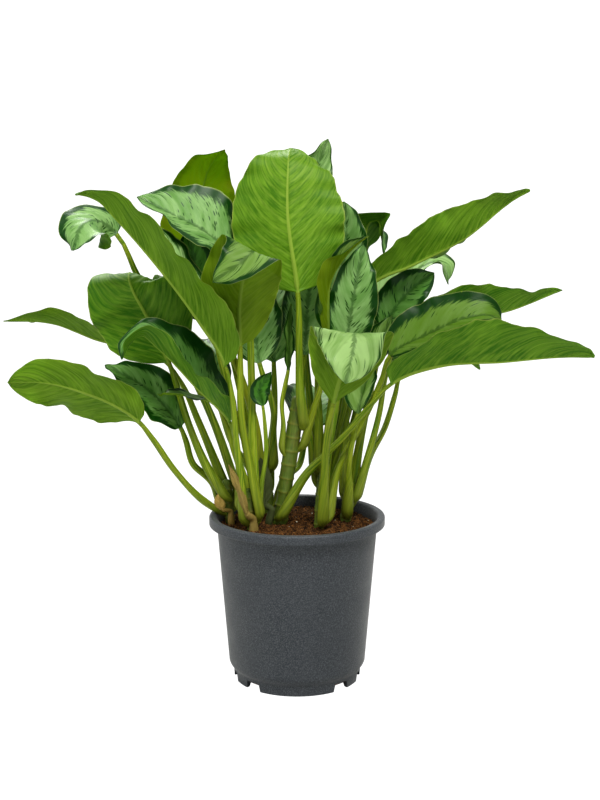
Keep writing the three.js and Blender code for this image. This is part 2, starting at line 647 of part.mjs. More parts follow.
// Old leaf bases that stay on the canes: pointed strips made the same way as a leaf.
const SHEATHS = {
  sheath_dry: {
    cane: "left", around: 10, rise: 4,
    petiole: [], blade: [[-100, -4, 234], [-106, -4, 246], [-108, -2, 256]],
    width: [7, 7], faces: [[0, 1, 0], [0, 1, 0]], footRadius: 3, jointRadius: 2.5, wave: 0,
  },
  sheath_stub: {
    cane: "front_left", around: 12, rise: 4,
    petiole: [], blade: [[-66, -50, 240], [-76, -54, 275], [-90, -54, 308]],
    width: [6, 6], faces: [[0, 1, 0], [0, 1, 0]], footRadius: 4, jointRadius: 4, wave: 0,
  },
  sheath_old: {
    cane: "centre", around: -70, rise: 6,
    petiole: [], blade: [[-44, 2, 240], [-46, 4, 275], [-50, 8, 305]],
    width: [13, 13], faces: [[0, 1, 0], [0, 1, 0]], footRadius: 4, jointRadius: 4, wave: 0,
  },
};

// ---------------------------------------------------------------- the plant in its pot

const plant = new THREE.Group();

function place(name, mesh) {
  mesh.name = name;
  plant.add(mesh);
}

place("pot", pot());
place("soil", soil(Object.values(CANES)));
for (const [name, data] of Object.entries(CANES)) place(`cane_${name}`, cane(data));
for (const [name, data] of Object.entries(LEAVES)) {
  place(name, new THREE.Mesh(leafGeometry({ ...LEAF, ...data }), materials.leaf));
}
for (const [name, data] of Object.entries(SHEATHS)) {
  place(name, new THREE.Mesh(leafGeometry({ ...LEAF, ...data }), materials.sheath));
}

export default plant;
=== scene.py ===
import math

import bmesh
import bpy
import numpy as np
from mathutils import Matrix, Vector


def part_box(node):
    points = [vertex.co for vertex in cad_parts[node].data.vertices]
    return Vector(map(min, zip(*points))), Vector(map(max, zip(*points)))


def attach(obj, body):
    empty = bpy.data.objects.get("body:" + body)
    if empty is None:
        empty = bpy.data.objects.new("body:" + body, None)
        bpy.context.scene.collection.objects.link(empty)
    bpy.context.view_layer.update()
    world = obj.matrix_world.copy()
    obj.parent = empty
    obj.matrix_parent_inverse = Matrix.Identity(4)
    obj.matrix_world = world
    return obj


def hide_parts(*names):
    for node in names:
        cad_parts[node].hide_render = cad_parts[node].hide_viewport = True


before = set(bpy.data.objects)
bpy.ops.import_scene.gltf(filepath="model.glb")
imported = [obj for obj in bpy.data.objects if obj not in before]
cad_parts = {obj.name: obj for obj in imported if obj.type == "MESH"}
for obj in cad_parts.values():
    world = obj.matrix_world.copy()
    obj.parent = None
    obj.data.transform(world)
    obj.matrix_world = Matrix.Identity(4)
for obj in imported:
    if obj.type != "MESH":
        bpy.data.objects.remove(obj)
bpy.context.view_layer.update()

# A potted aglaonema: fine meshes and finishes for its pot, peat, canes and leaves.
#
# Each leaf of the frame is a coarse closed strip of rings with ten points. Its rings are read back, and
# a fine leaf is grown through them, with its own thickness, midrib, side veins and rippled margin.
# Everything is in metres. The plant's front is -Y, and Z is up.

bl_info = {
    "name": "Potted Aglaonema",
    "version": (1, 0, 0),
    "blender": (4, 5, 0),
    "location": "3D View > Sidebar > Aglaonema",
    "description": "Makes the fine pieces and finishes of a potted aglaonema around its frame",
    "category": "Add Mesh",
}

MM = 0.001
BODY = "root"
WELD = 1e-6

# How the frame's leaves are made: rings of ten points, the first four on the petiole, and a fifth that
# is the oval where the petiole meets the blade
RING_POINTS = 10
PETIOLE_RINGS = 4
LEFT, LEFT_ABOVE, MIDDLE_ABOVE, RIGHT_ABOVE, RIGHT = range(5)
RIGHT_BELOW, BESIDE_KEEL_RIGHT, KEEL, BESIDE_KEEL_LEFT, LEFT_BELOW = range(5, 10)
FRAME_HALF_THICKNESS = 0.65 * MM

# Numbers of the random draws, and how far apart the grain of two pieces lies
CANE_SEEDS = 100
SHEATH_SEEDS = 200
GRAIN_APART = 60.0

# Angles in degrees past which an edge is sharp
LEAF_CREASE = 75
CANE_CREASE = 60
POT_CREASE = 32
NO_CREASE = 180

# Sockets of a Mix node that mixes colours, and of one that mixes numbers
FACTOR, FIRST, SECOND, MIXED = 0, 6, 7, 2


# ---------------------------------------------------------------- colours and nodes


def colour(code):
    """A linear RGBA colour from an sRGB hex code."""
    parts = [int(code[i : i + 2], 16) / 255 for i in (1, 3, 5)]
    linear = [p / 12.92 if p <= 0.04045 else ((p + 0.055) / 1.055) ** 2.4 for p in parts]
    return (*linear, 1.0)


def add(tree, kind, inputs=None, output=0, **settings):
    """Adds a node, links or sets its inputs, and returns one of its outputs, or itself for output None."""
    node = tree.nodes.new(kind)
    for name, value in settings.items():
        setattr(node, name, value)
    for key, value in (inputs or {}).items():
        if isinstance(value, bpy.types.NodeSocket):
            tree.links.new(value, node.inputs[key])
        else:
            node.inputs[key].default_value = value
    return node if output is None else node.outputs[output]


def new_material(name):
    """An empty material's node tree."""
    material = bpy.data.materials.new(name)
    material.use_nodes = True
    material.node_tree.nodes.clear()
    return material, material.node_tree


def carried(tree, name):
    """The vector that a mesh carries in an attribute, and its three numbers."""
    vector = add(tree, "ShaderNodeAttribute", output="Vector", attribute_name=name)
    parts = add(tree, "ShaderNodeSeparateXYZ", {0: vector}, None)
    return vector, *parts.outputs


def show(tree, surface):
    """Ends a material's tree in its surface."""
    add(tree, "ShaderNodeOutputMaterial", {"Surface": surface}, None)


# ---------------------------------------------------------------- numbers and curves


def ease(value, start, end):
    """0 before start and 1 after end, with a soft step between."""
    t = np.clip((value - start) / (end - start), 0, 1)
    return t * t * (3 - 2 * t)


def curve_through(places, values, wanted, steady):
    """A smooth curve through the values at these places. A steady one never swings past a value."""
    gap = np.diff(places)[:, None]
    slope = np.diff(values, axis=0) / gap
    before, after = slope[:-1], slope[1:]
    weight = gap[1:] / (gap[:-1] + gap[1:])
    inner = weight * before + (1 - weight) * after
    if steady:
        both = before + after
        level = np.where(np.abs(both) < 1e-12, 1, both)
        inner = np.where(before * after > 0, 2 * before * after / level, 0)
    tangent = np.vstack([slope[:1], inner, slope[-1:]])
    k = np.clip(np.searchsorted(places, wanted, side="right") - 1, 0, len(gap) - 1)
    h = gap[k]
    t = (wanted - places[k])[:, None] / h
    from_here = (2 * t**3 - 3 * t**2 + 1) * values[k] + (t**3 - 2 * t**2 + t) * h * tangent[k]
    to_next = (3 * t**2 - 2 * t**3) * values[k + 1] + (t**3 - t**2) * h * tangent[k + 1]
    return from_here + to_next


def round_curve(rings, turns):
    """Points on a closed smooth curve round each ring, at places counted in the ring's own points."""
    count = rings.shape[1]
    k = np.floor(turns).astype(int)
    t = (turns - k)[None, :, None]
    a, b, c, d = (rings[:, (k + step) % count] for step in (-1, 0, 1, 2))
    return 0.5 * (2 * b + (c - a) * t + (2 * a - 5 * b + 4 * c - d) * t**2 + (3 * b - a - 3 * c + d) * t**3)


def unit(vectors):
    """Vectors of length one."""
    return vectors / np.maximum(np.linalg.norm(vectors, axis=-1, keepdims=True), 1e-12)


def swell(values, lengths, heights, phases):
    """A sum of waves of these lengths and heights."""
    waves = [
        height * np.sin(2 * math.pi * values / length + phase)
        for length, height, phase in zip(lengths, heights, phases)
    ]
    return sum(waves)


# ---------------------------------------------------------------- meshes


def levels_of(node):
    """A welded copy of a frame piece that ends on a point at both ends, and its vertices' distance in
    edges from the lower point."""
    mesh = bmesh.new()
    mesh.from_mesh(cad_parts[node].data)
    bmesh.ops.remove_doubles(mesh, verts=mesh.verts, dist=WELD)
    ends = [v for v in mesh.verts if len(v.link_edges) == RING_POINTS]
    foot = min(ends, key=lambda v: v.co.z)
    level = {foot: 0}
    edge_of_known = [foot]
    while edge_of_known:
        reached = []
        for vertex in edge_of_known:
            for edge in vertex.link_edges:
                other = edge.other_vert(vertex)
                if other not in level:
                    level[other] = level[vertex] + 1
                    reached.append(other)
        edge_of_known = reached
    return mesh, level


def rings_of(node):
    """A leaf's rings from the foot up, each starting at its left margin, and its tip."""
    mesh, level = levels_of(node)
    follower = {}
    for face in mesh.faces:
        corners = list(face.verts)
        lowest = min(level[v] for v in corners)
        above = [v for v in corners if level[v] > lowest]
        if len(above) == 1:
            place = corners.index(above[0])
            follower[corners[(place + 1) % 3]] = corners[(place + 2) % 3]
    last = max(level.values())
    starts = left_margins(level, follower, last)
    rings = []
    for vertex in starts:
        ring = [vertex]
        while len(ring) < RING_POINTS:
            ring.append(follower[ring[-1]])
        rings.append([list(v.co) for v in ring])
    tip = next(np.array(v.co) for v in level if level[v] == last)
    mesh.free()
    return np.array(rings), tip


def left_margins(level, follower, last):
    """The first vertex of each ring. The quads beside a left margin are both split from it, so three
    edges lead from it to the next ring, and only one leads from a right margin."""
    starts = []
    rights = {}
    for ring in range(1, last - 1):
        for vertex in (v for v in level if level[v] == ring):
            ahead = [e.other_vert(vertex) for e in vertex.link_edges]
            ahead = [v for v in ahead if level[v] > ring]
            if len(ahead) == 3:
                starts.append(vertex)
            elif len(ahead) == 1:
                rights[ring] = ahead[0]
    start = rights[last - 2]
    for _ in range(RING_POINTS - RIGHT):
        start = follower[start]
    return [*starts, start]


def make_piece(name, points, faces, materials, indices=None, carries=None, sharp=50):
    """A smooth piece from points and faces. carries names the vectors that its points carry."""
    mesh = bpy.data.meshes.new(name)
    mesh.from_pydata(np.asarray(points).tolist(), [], [list(map(int, f)) for f in faces])
    for material in materials:
        mesh.materials.append(material)
    if indices is not None:
        mesh.polygons.foreach_set("material_index", np.asarray(indices, dtype=np.int32))
    mesh.polygons.foreach_set("use_smooth", np.ones(len(mesh.polygons), dtype=bool))
    for key, values in (carries or {}).items():
        held = mesh.attributes.new(key, "FLOAT_VECTOR", "POINT")
        held.data.foreach_set("vector", np.asarray(values, dtype=np.float32).ravel())
    mesh.update()
    mesh.set_sharp_from_angle(angle=math.radians(sharp))
    piece = bpy.data.objects.new(name, mesh)
    bpy.context.scene.collection.objects.link(piece)
    return piece


def stands_for(piece, node):
    """Puts a piece in a frame node's place."""
    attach(piece, BODY)
    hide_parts(node)


def tube_faces(rings, count):
    """The quads between rings of so many points, which run one after another."""
    ring, j = np.meshgrid(np.arange(rings - 1), np.arange(count), indexing="ij")
    here = ring * count
    ahead = (j + 1) % count
    return np.stack([here + j, here + ahead, here + count + ahead, here + count + j], -1).reshape(-1, 4)


def closed_tube(rings, count):
    """The faces of a tube of rings that two more vertices close, one at its foot and one at its top."""
    faces = [list(f) for f in tube_faces(rings, count)]
    foot, top, last = rings * count, rings * count + 1, (rings - 1) * count
    for j in range(count):
        ahead = (j + 1) % count
        faces.append([foot, ahead, j])
        faces.append([top, last + j, last + ahead])
    return faces


def level_rings(outline, angles):
    """A level ring of points for each radius and height."""
    ring = np.stack([np.cos(angles), np.sin(angles)], -1)
    return [np.concatenate([r * ring, np.full((len(angles), 1), h)], -1) for r, h in outline]


def with_ends(values):
    """What the points of a closed tube carry, with its two end vertices at the end of the list."""
    return np.vstack([values.reshape(-1, 3), values[0, 0], values[-1, 0]])


def turned(outline, sides):
    """Points and faces of a solid turned about Z from an outline that starts and ends on the axis."""
    angles = np.linspace(0, 2 * math.pi, sides, endpoint=False)
    inner = np.array(outline[1:-1])
    ends = [[0, 0, outline[0][1]], [0, 0, outline[-1][1]]]
    points = np.vstack([*level_rings(inner, angles), *ends])
    return points, closed_tube(len(inner), sides)


def arc(centre, radius, start, end, steps):
    """Points on an arc of an outline, in degrees."""
    angles = np.radians(np.linspace(start, end, steps))
    return [(centre[0] + radius * math.cos(a), centre[1] + radius * math.sin(a)) for a in angles]


# ---------------------------------------------------------------- settings


class PotSettings(bpy.types.PropertyGroup):
    """Sizes and colour of the nursery pot."""

    height: bpy.props.FloatProperty(
        name="Height", description="Floor to the top of the rim", default=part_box("pot")[1].z, unit="LENGTH"
    )
    rim_radius: bpy.props.FloatProperty(
        name="Rim radius", description="Outside of the rolled rim", default=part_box("pot")[1].x, unit="LENGTH"
    )
    lip: bpy.props.FloatProperty(
        name="Lip", description="Height of the rolled rim", default=13 * MM, unit="LENGTH"
    )
    body_top: bpy.props.FloatProperty(
        name="Body top radius", description="The wall under the rim", default=109.5 * MM, unit="LENGTH"
    )
    body_foot: bpy.props.FloatProperty(
        name="Body foot radius", description="The wall above the step", default=94 * MM, unit="LENGTH"
    )
    foot: bpy.props.FloatProperty(
        name="Foot radius", description="The ring that it stands on", default=87 * MM, unit="LENGTH"
    )
    step: bpy.props.FloatProperty(
        name="Step", description="Height of the step at the foot", default=24 * MM, unit="LENGTH"
    )
    wall: bpy.props.FloatProperty(
        name="Wall", description="Thickness of the wall", default=1.8 * MM, unit="LENGTH"
    )
    sides: bpy.props.IntProperty(name="Sides", description="Facets round the pot", default=144, min=24)
    plastic: bpy.props.FloatVectorProperty(
        name="Plastic", description="Body colour", subtype="COLOR", size=4, default=colour("#242a31")
    )
    fleck: bpy.props.FloatVectorProperty(
        name="Fleck", description="Light grains in the plastic", subtype="COLOR", size=4,
        default=colour("#5a5e62"),
    )


class SoilSettings(bpy.types.PropertyGroup):
    """Sizes and colours of the peat."""

    roughness: bpy.props.FloatProperty(
        name="Roughness", description="Height of its lumps", default=3.2 * MM, unit="LENGTH"
    )
    crumb: bpy.props.FloatProperty(
        name="Crumb", description="Middling size of a loose crumb", default=2.7 * MM, unit="LENGTH"
    )
    crumbs: bpy.props.FloatProperty(
        name="Crumbs", description="Crumbs on each square metre", default=62000
    )
    fibres: bpy.props.FloatProperty(
        name="Fibres", description="Peat fibres on each square metre", default=7000
    )
    perlite: bpy.props.FloatProperty(
        name="Perlite", description="Perlite grains on each square metre", default=900
    )
    seed: bpy.props.IntProperty(name="Seed", description="Which scatter of the crumbs", default=7)
    dark: bpy.props.FloatVectorProperty(
        name="Dark peat", description="Damp peat", subtype="COLOR", size=4, default=colour("#1a0e06")
    )
    light: bpy.props.FloatVectorProperty(
        name="Light peat", description="Dry peat", subtype="COLOR", size=4, default=colour("#9a6c3e")
    )


class LeafSettings(bpy.types.PropertyGroup):
    """Sizes and colours that all the leaves share."""

    across: bpy.props.IntProperty(name="Across", description="Steps over each half blade", default=16, min=4)
    spacing: bpy.props.FloatProperty(
        name="Spacing", description="Between steps along a blade", default=2.1 * MM, unit="LENGTH"
    )
    thickness: bpy.props.FloatProperty(
        name="Thickness", description="Blade thickness beside the midrib", default=0.7 * MM, unit="LENGTH"
    )
    vein_gap: bpy.props.FloatProperty(
        name="Vein gap", description="Between side veins", default=15 * MM, unit="LENGTH"
    )
    vein_depth: bpy.props.FloatProperty(
        name="Vein depth", description="How far side veins are sunk", default=0.75 * MM, unit="LENGTH"
    )
    ripple: bpy.props.FloatProperty(
        name="Ripple", description="Rise and fall of the margin", default=2.4 * MM, unit="LENGTH"
    )
    silver: bpy.props.FloatVectorProperty(
        name="Silver", description="Pale middle of the upper side", subtype="COLOR", size=4,
        default=colour("#b2d890"),
    )
    dark: bpy.props.FloatVectorProperty(
        name="Dark green", description="Margin and flecks of the upper side", subtype="COLOR", size=4,
        default=colour("#124406"),
    )
    under: bpy.props.FloatVectorProperty(
        name="Underside", description="The underside between its veins", subtype="COLOR", size=4,
        default=colour("#3c7204"),
    )
    rib: bpy.props.FloatVectorProperty(
        name="Midrib", description="The midrib and side veins below", subtype="COLOR", size=4,
        default=colour("#98b444"),
    )
    # each leaf's tone lays this on partly as real youth and partly as a painted glow where the leaf is backlit
    young: bpy.props.FloatVectorProperty(
        name="Young leaf", description="The yellow green of the thin young leaves", subtype="COLOR", size=4,
        default=colour("#adbc0c"),
    )


class StageSettings(bpy.types.PropertyGroup):
    """The camera, floor and lights."""

    distance: bpy.props.FloatProperty(
        name="Distance", description="Camera in front of the pot's axis", default=1.683, unit="LENGTH"
    )
    height: bpy.props.FloatProperty(
        name="Height", description="Camera above the floor", default=0.649, unit="LENGTH"
    )
    pitch: bpy.props.FloatProperty(
        name="Pitch", description="How far it looks down", default=math.radians(8.9), subtype="ANGLE"
    )
    lens: bpy.props.FloatProperty(
        name="Lens", description="Focal length in millimetres on a 36 mm side", default=56.84
    )
    floor: bpy.props.FloatVectorProperty(
        name="Floor", description="Floor colour", subtype="COLOR", size=4, default=colour("#dcdcd8")
    )


# ---------------------------------------------------------------- finishes


def pot_plastic(settings):
    """Recycled polypropylene, injection moulded: charcoal with a blue cast, matt, with a fine pale
    speckle that the regrind leaves and a faint sheen at the sides."""
    material, tree = new_material("moulded_polypropylene")
    place = add(tree, "ShaderNodeTexCoord", output="Object")
    # regrind speckle about 1.6 mm across, as coarse as it needs to be seen
    speckle = add(
        tree, "ShaderNodeTexNoise",
        {"Vector": place, "Scale": 1 / (1.6 * MM), "Detail": 3.0, "Roughness": 0.7},
    )
    grains = add(tree, "ShaderNodeMapRange", {"Value": speckle, "From Min": 0.44, "From Max": 0.72})
    # flow marks and handling scuffs are a few centimetres across
    cloud = add(tree, "ShaderNodeTexNoise", {"Vector": place, "Scale": 1 / (38 * MM), "Detail": 4.0})
    scuffs = add(
        tree, "ShaderNodeMapRange", {"Value": cloud, "From Min": 0.4, "From Max": 0.75, "To Max": 0.35}
    )
    tint = add(
        tree, "ShaderNodeMix", {FACTOR: grains, FIRST: settings.plastic, SECOND: settings.fleck}, MIXED,
        data_type="RGBA",
    )
    body = add(
        tree, "ShaderNodeMix", {FACTOR: scuffs, FIRST: tint, SECOND: colour("#3c4044")}, MIXED,
        data_type="RGBA",
    )
    roughness = add(
        tree, "ShaderNodeMapRange",
        {"Value": cloud, "From Min": 0.3, "From Max": 0.7, "To Min": 0.46, "To Max": 0.62},
    )
    bump = add(tree, "ShaderNodeBump", {"Height": speckle, "Strength": 0.5, "Distance": 0.12 * MM})
    show(
        tree,
        add(
            tree, "ShaderNodeBsdfPrincipled",
            {"Base Color": body, "Roughness": roughness, "IOR": 1.49, "Normal": bump, "Sheen Weight": 0.15,
             "Sheen Roughness": 0.45},
        ),
    )
    return material


def peat(settings, name="damp_peat", lighten=0.0):
    """Milled peat: dark red brown where it is damp, lighter and dusty on its crumbs, fully matt."""
    material, tree = new_material(name)
    place = add(tree, "ShaderNodeTexCoord", output="Object")
    lumps = add(tree, "ShaderNodeTexNoise", {"Vector": place, "Scale": 1 / (7 * MM), "Detail": 6.0,
                                             "Roughness": 0.72})
    dust = add(tree, "ShaderNodeTexNoise", {"Vector": place, "Scale": 1 / (1.4 * MM), "Detail": 3.0})
    both = add(tree, "ShaderNodeMath", {0: lumps, 1: dust}, operation="MULTIPLY")
    share = add(
        tree, "ShaderNodeMapRange",
        {"Value": both, "From Min": 0.22, "From Max": 0.34, "To Min": lighten, "To Max": 0.75 + lighten / 2},
    )
    tint = add(
        tree, "ShaderNodeMix", {FACTOR: share, FIRST: settings.dark, SECOND: settings.light}, MIXED,
        data_type="RGBA",
    )
    bump = add(tree, "ShaderNodeBump", {"Height": dust, "Strength": 0.8, "Distance": 0.6 * MM})
    show(
        tree,
        add(
            tree, "ShaderNodeBsdfPrincipled",
            {"Base Color": tint, "Roughness": 0.97, "Specular IOR Level": 0.2, "Normal": bump},
        ),
    )
    return material


def perlite():
    """Expanded perlite: brittle white volcanic glass foam, dull and slightly stained by the peat."""
    material, tree = new_material("expanded_perlite")
    place = add(tree, "ShaderNodeTexCoord", output="Object")
    pores = add(tree, "ShaderNodeTexNoise", {"Vector": place, "Scale": 1 / (0.9 * MM), "Detail": 4.0})
    tint = add(
        tree, "ShaderNodeMix", {FACTOR: pores, FIRST: colour("#c9c3a6"), SECOND: colour("#f1efe2")}, MIXED,
        data_type="RGBA",
    )
    bump = add(tree, "ShaderNodeBump", {"Height": pores, "Strength": 0.9, "Distance": 0.3 * MM})
    show(tree, add(tree, "ShaderNodeBsdfPrincipled", {"Base Color": tint, "Roughness": 0.9, "Normal": bump}))
    return material


def living_surface(tree, tint, glow, roughness, bump, clear):
    """Living leaf tissue: a waxy skin over pulp that lets a share of the light through, yellower than
    what it reflects. clear is that share."""
    skin = add(
        tree, "ShaderNodeBsdfPrincipled",
        {"Base Color": tint, "Roughness": roughness, "IOR": 1.42, "Specular IOR Level": 0.32, "Normal": bump},
    )
    pulp = add(tree, "ShaderNodeBsdfTranslucent", {"Color": glow})
    show(tree, add(tree, "ShaderNodeMixShader", {0: clear, 1: skin, 2: pulp}))


def leaf_upper(settings):
    """The upper side of a silver-patterned aglaonema leaf: a pale silver green middle that frays along
    the side veins into dark green margins, with dark flecks and a dark feathered midrib, semi-gloss."""
    material, tree = new_material("aglaonema_leaf_upper")
    _, across, _, _ = carried(tree, "place")
    grain, _, from_midrib, _ = carried(tree, "grain")
    _, yellow, silver, flecked = carried(tree, "tone")
    reach = add(tree, "ShaderNodeMath", {0: across}, operation="ABSOLUTE")
    # marks are drawn out along the side veins, 2.4 times as long as they are wide
    drawn_out = add(tree, "ShaderNodeMapping", {"Vector": grain, "Scale": (1.0, 0.42, 1.0)})
    fray = add(
        tree, "ShaderNodeTexNoise",
        {"Vector": drawn_out, "Scale": 1 / 6.5, "Detail": 4.0, "Roughness": 0.62, "Distortion": 0.4},
    )
    patch = add(tree, "ShaderNodeTexNoise", {"Vector": drawn_out, "Scale": 1 / 21, "Detail": 2.0})
    # the dark margin, wider where the leaf has less silver
    frayed = add(tree, "ShaderNodeMath", {0: fray, 1: 0.62, 2: reach}, operation="MULTIPLY_ADD")
    shifted = add(tree, "ShaderNodeMath", {0: silver, 1: -0.36, 2: frayed}, operation="MULTIPLY_ADD")
    margin = add(
        tree, "ShaderNodeMapRange", {"Value": shifted, "From Min": 0.80, "From Max": 0.94},
        interpolation_type="SMOOTHSTEP",
    )
    # a ragged dark line beside the midrib, which fades out about 4 mm from it
    feather = add(tree, "ShaderNodeMath", {0: from_midrib}, operation="ABSOLUTE")
    ragged = add(tree, "ShaderNodeMath", {0: fray, 1: -15.0, 2: feather}, operation="MULTIPLY_ADD")
    midrib_dark = add(
        tree, "ShaderNodeMapRange",
        {"Value": ragged, "From Min": -6.0, "From Max": -3.5, "To Min": 0.55, "To Max": 0.0},
    )
    # dark flecks 2 to 3 mm wide, drawn out along the side veins and scattered by chance
    cells = add(tree, "ShaderNodeTexVoronoi", {"Vector": drawn_out, "Scale": 1 / 3.6}, None)
    chance = add(tree, "ShaderNodeSeparateXYZ", {0: cells.outputs["Color"]}, None)
    crowding = add(tree, "ShaderNodeMath", {0: flecked, 1: 0.42, 2: chance.outputs[0]},
                   operation="MULTIPLY_ADD")
    crowded = add(tree, "ShaderNodeMath", {0: reach, 1: 0.22, 2: crowding}, operation="MULTIPLY_ADD")
    chosen = add(tree, "ShaderNodeMapRange", {"Value": crowded, "From Min": 0.98, "From Max": 1.02})
    spot = add(
        tree, "ShaderNodeMapRange",
        {"Value": cells.outputs["Distance"], "From Min": 0.26, "From Max": 0.42, "To Min": 0.95,
         "To Max": 0.0},
    )
    fleck = add(tree, "ShaderNodeMath", {0: chosen, 1: spot}, operation="MULTIPLY")
    darkest = add(tree, "ShaderNodeMath", {0: margin, 1: midrib_dark}, operation="MAXIMUM")
    marks = add(tree, "ShaderNodeMath", {0: darkest, 1: fleck}, operation="MAXIMUM")
    # the silver itself is uneven, with green showing through in patches
    patchy = add(
        tree, "ShaderNodeMapRange",
        {"Value": patch, "From Min": 0.36, "From Max": 0.64, "To Min": 1.25, "To Max": 0.6},
    )
    brushed = add(
        tree, "ShaderNodeMapRange", {"Value": fray, "From Min": 0.35, "From Max": 0.65, "To Min": 1.15,
                                     "To Max": 0.75},
    )
    silvering = add(tree, "ShaderNodeMath", {0: patchy, 1: brushed}, operation="MULTIPLY")
    silver_share = add(
        tree, "ShaderNodeMath", {0: silvering, 1: silver}, operation="MULTIPLY", use_clamp=True
    )
    pale = add(
        tree, "ShaderNodeMix",
        {FACTOR: silver_share, FIRST: colour("#3f7d0e"), SECOND: settings.silver}, MIXED, data_type="RGBA",
    )
    # the tone's yellow is partly the real yellow of young leaves and partly a painted glow on backlit leaves
    warmth_and_backlight_glow = add(tree, "ShaderNodeMath", {0: yellow, 1: 0.45}, operation="MULTIPLY", use_clamp=True)
    warm = add(
        tree, "ShaderNodeMix", {FACTOR: warmth_and_backlight_glow, FIRST: pale, SECOND: settings.young}, MIXED, data_type="RGBA"
    )
    marked = add(
        tree, "ShaderNodeMix", {FACTOR: marks, FIRST: warm, SECOND: settings.dark}, MIXED, data_type="RGBA"
    )
    # the thin colourless rim of the blade
    rim = add(
        tree, "ShaderNodeMapRange", {"Value": reach, "From Min": 0.965, "From Max": 0.995, "To Max": 0.6}
    )
    tint = add(
        tree, "ShaderNodeMix", {FACTOR: rim, FIRST: marked, SECOND: colour("#b9c878")}, MIXED,
        data_type="RGBA",
    )
    skin = add(tree, "ShaderNodeTexNoise", {"Vector": grain, "Scale": 1 / 1.3, "Detail": 2.0})
    bump = add(tree, "ShaderNodeBump", {"Height": skin, "Strength": 0.35, "Distance": 0.10 * MM})
    glow = add(
        tree, "ShaderNodeMix", {FACTOR: 0.5, FIRST: tint, SECOND: colour("#66a80e")}, MIXED, data_type="RGBA"
    )
    roughness = add(tree, "ShaderNodeMapRange", {"Value": marks, "To Min": 0.46, "To Max": 0.36})
    clear = add(tree, "ShaderNodeMapRange", {"Value": yellow, "To Min": 0.18, "To Max": 0.75})
    living_surface(tree, tint, glow, roughness, bump, clear)
    return material


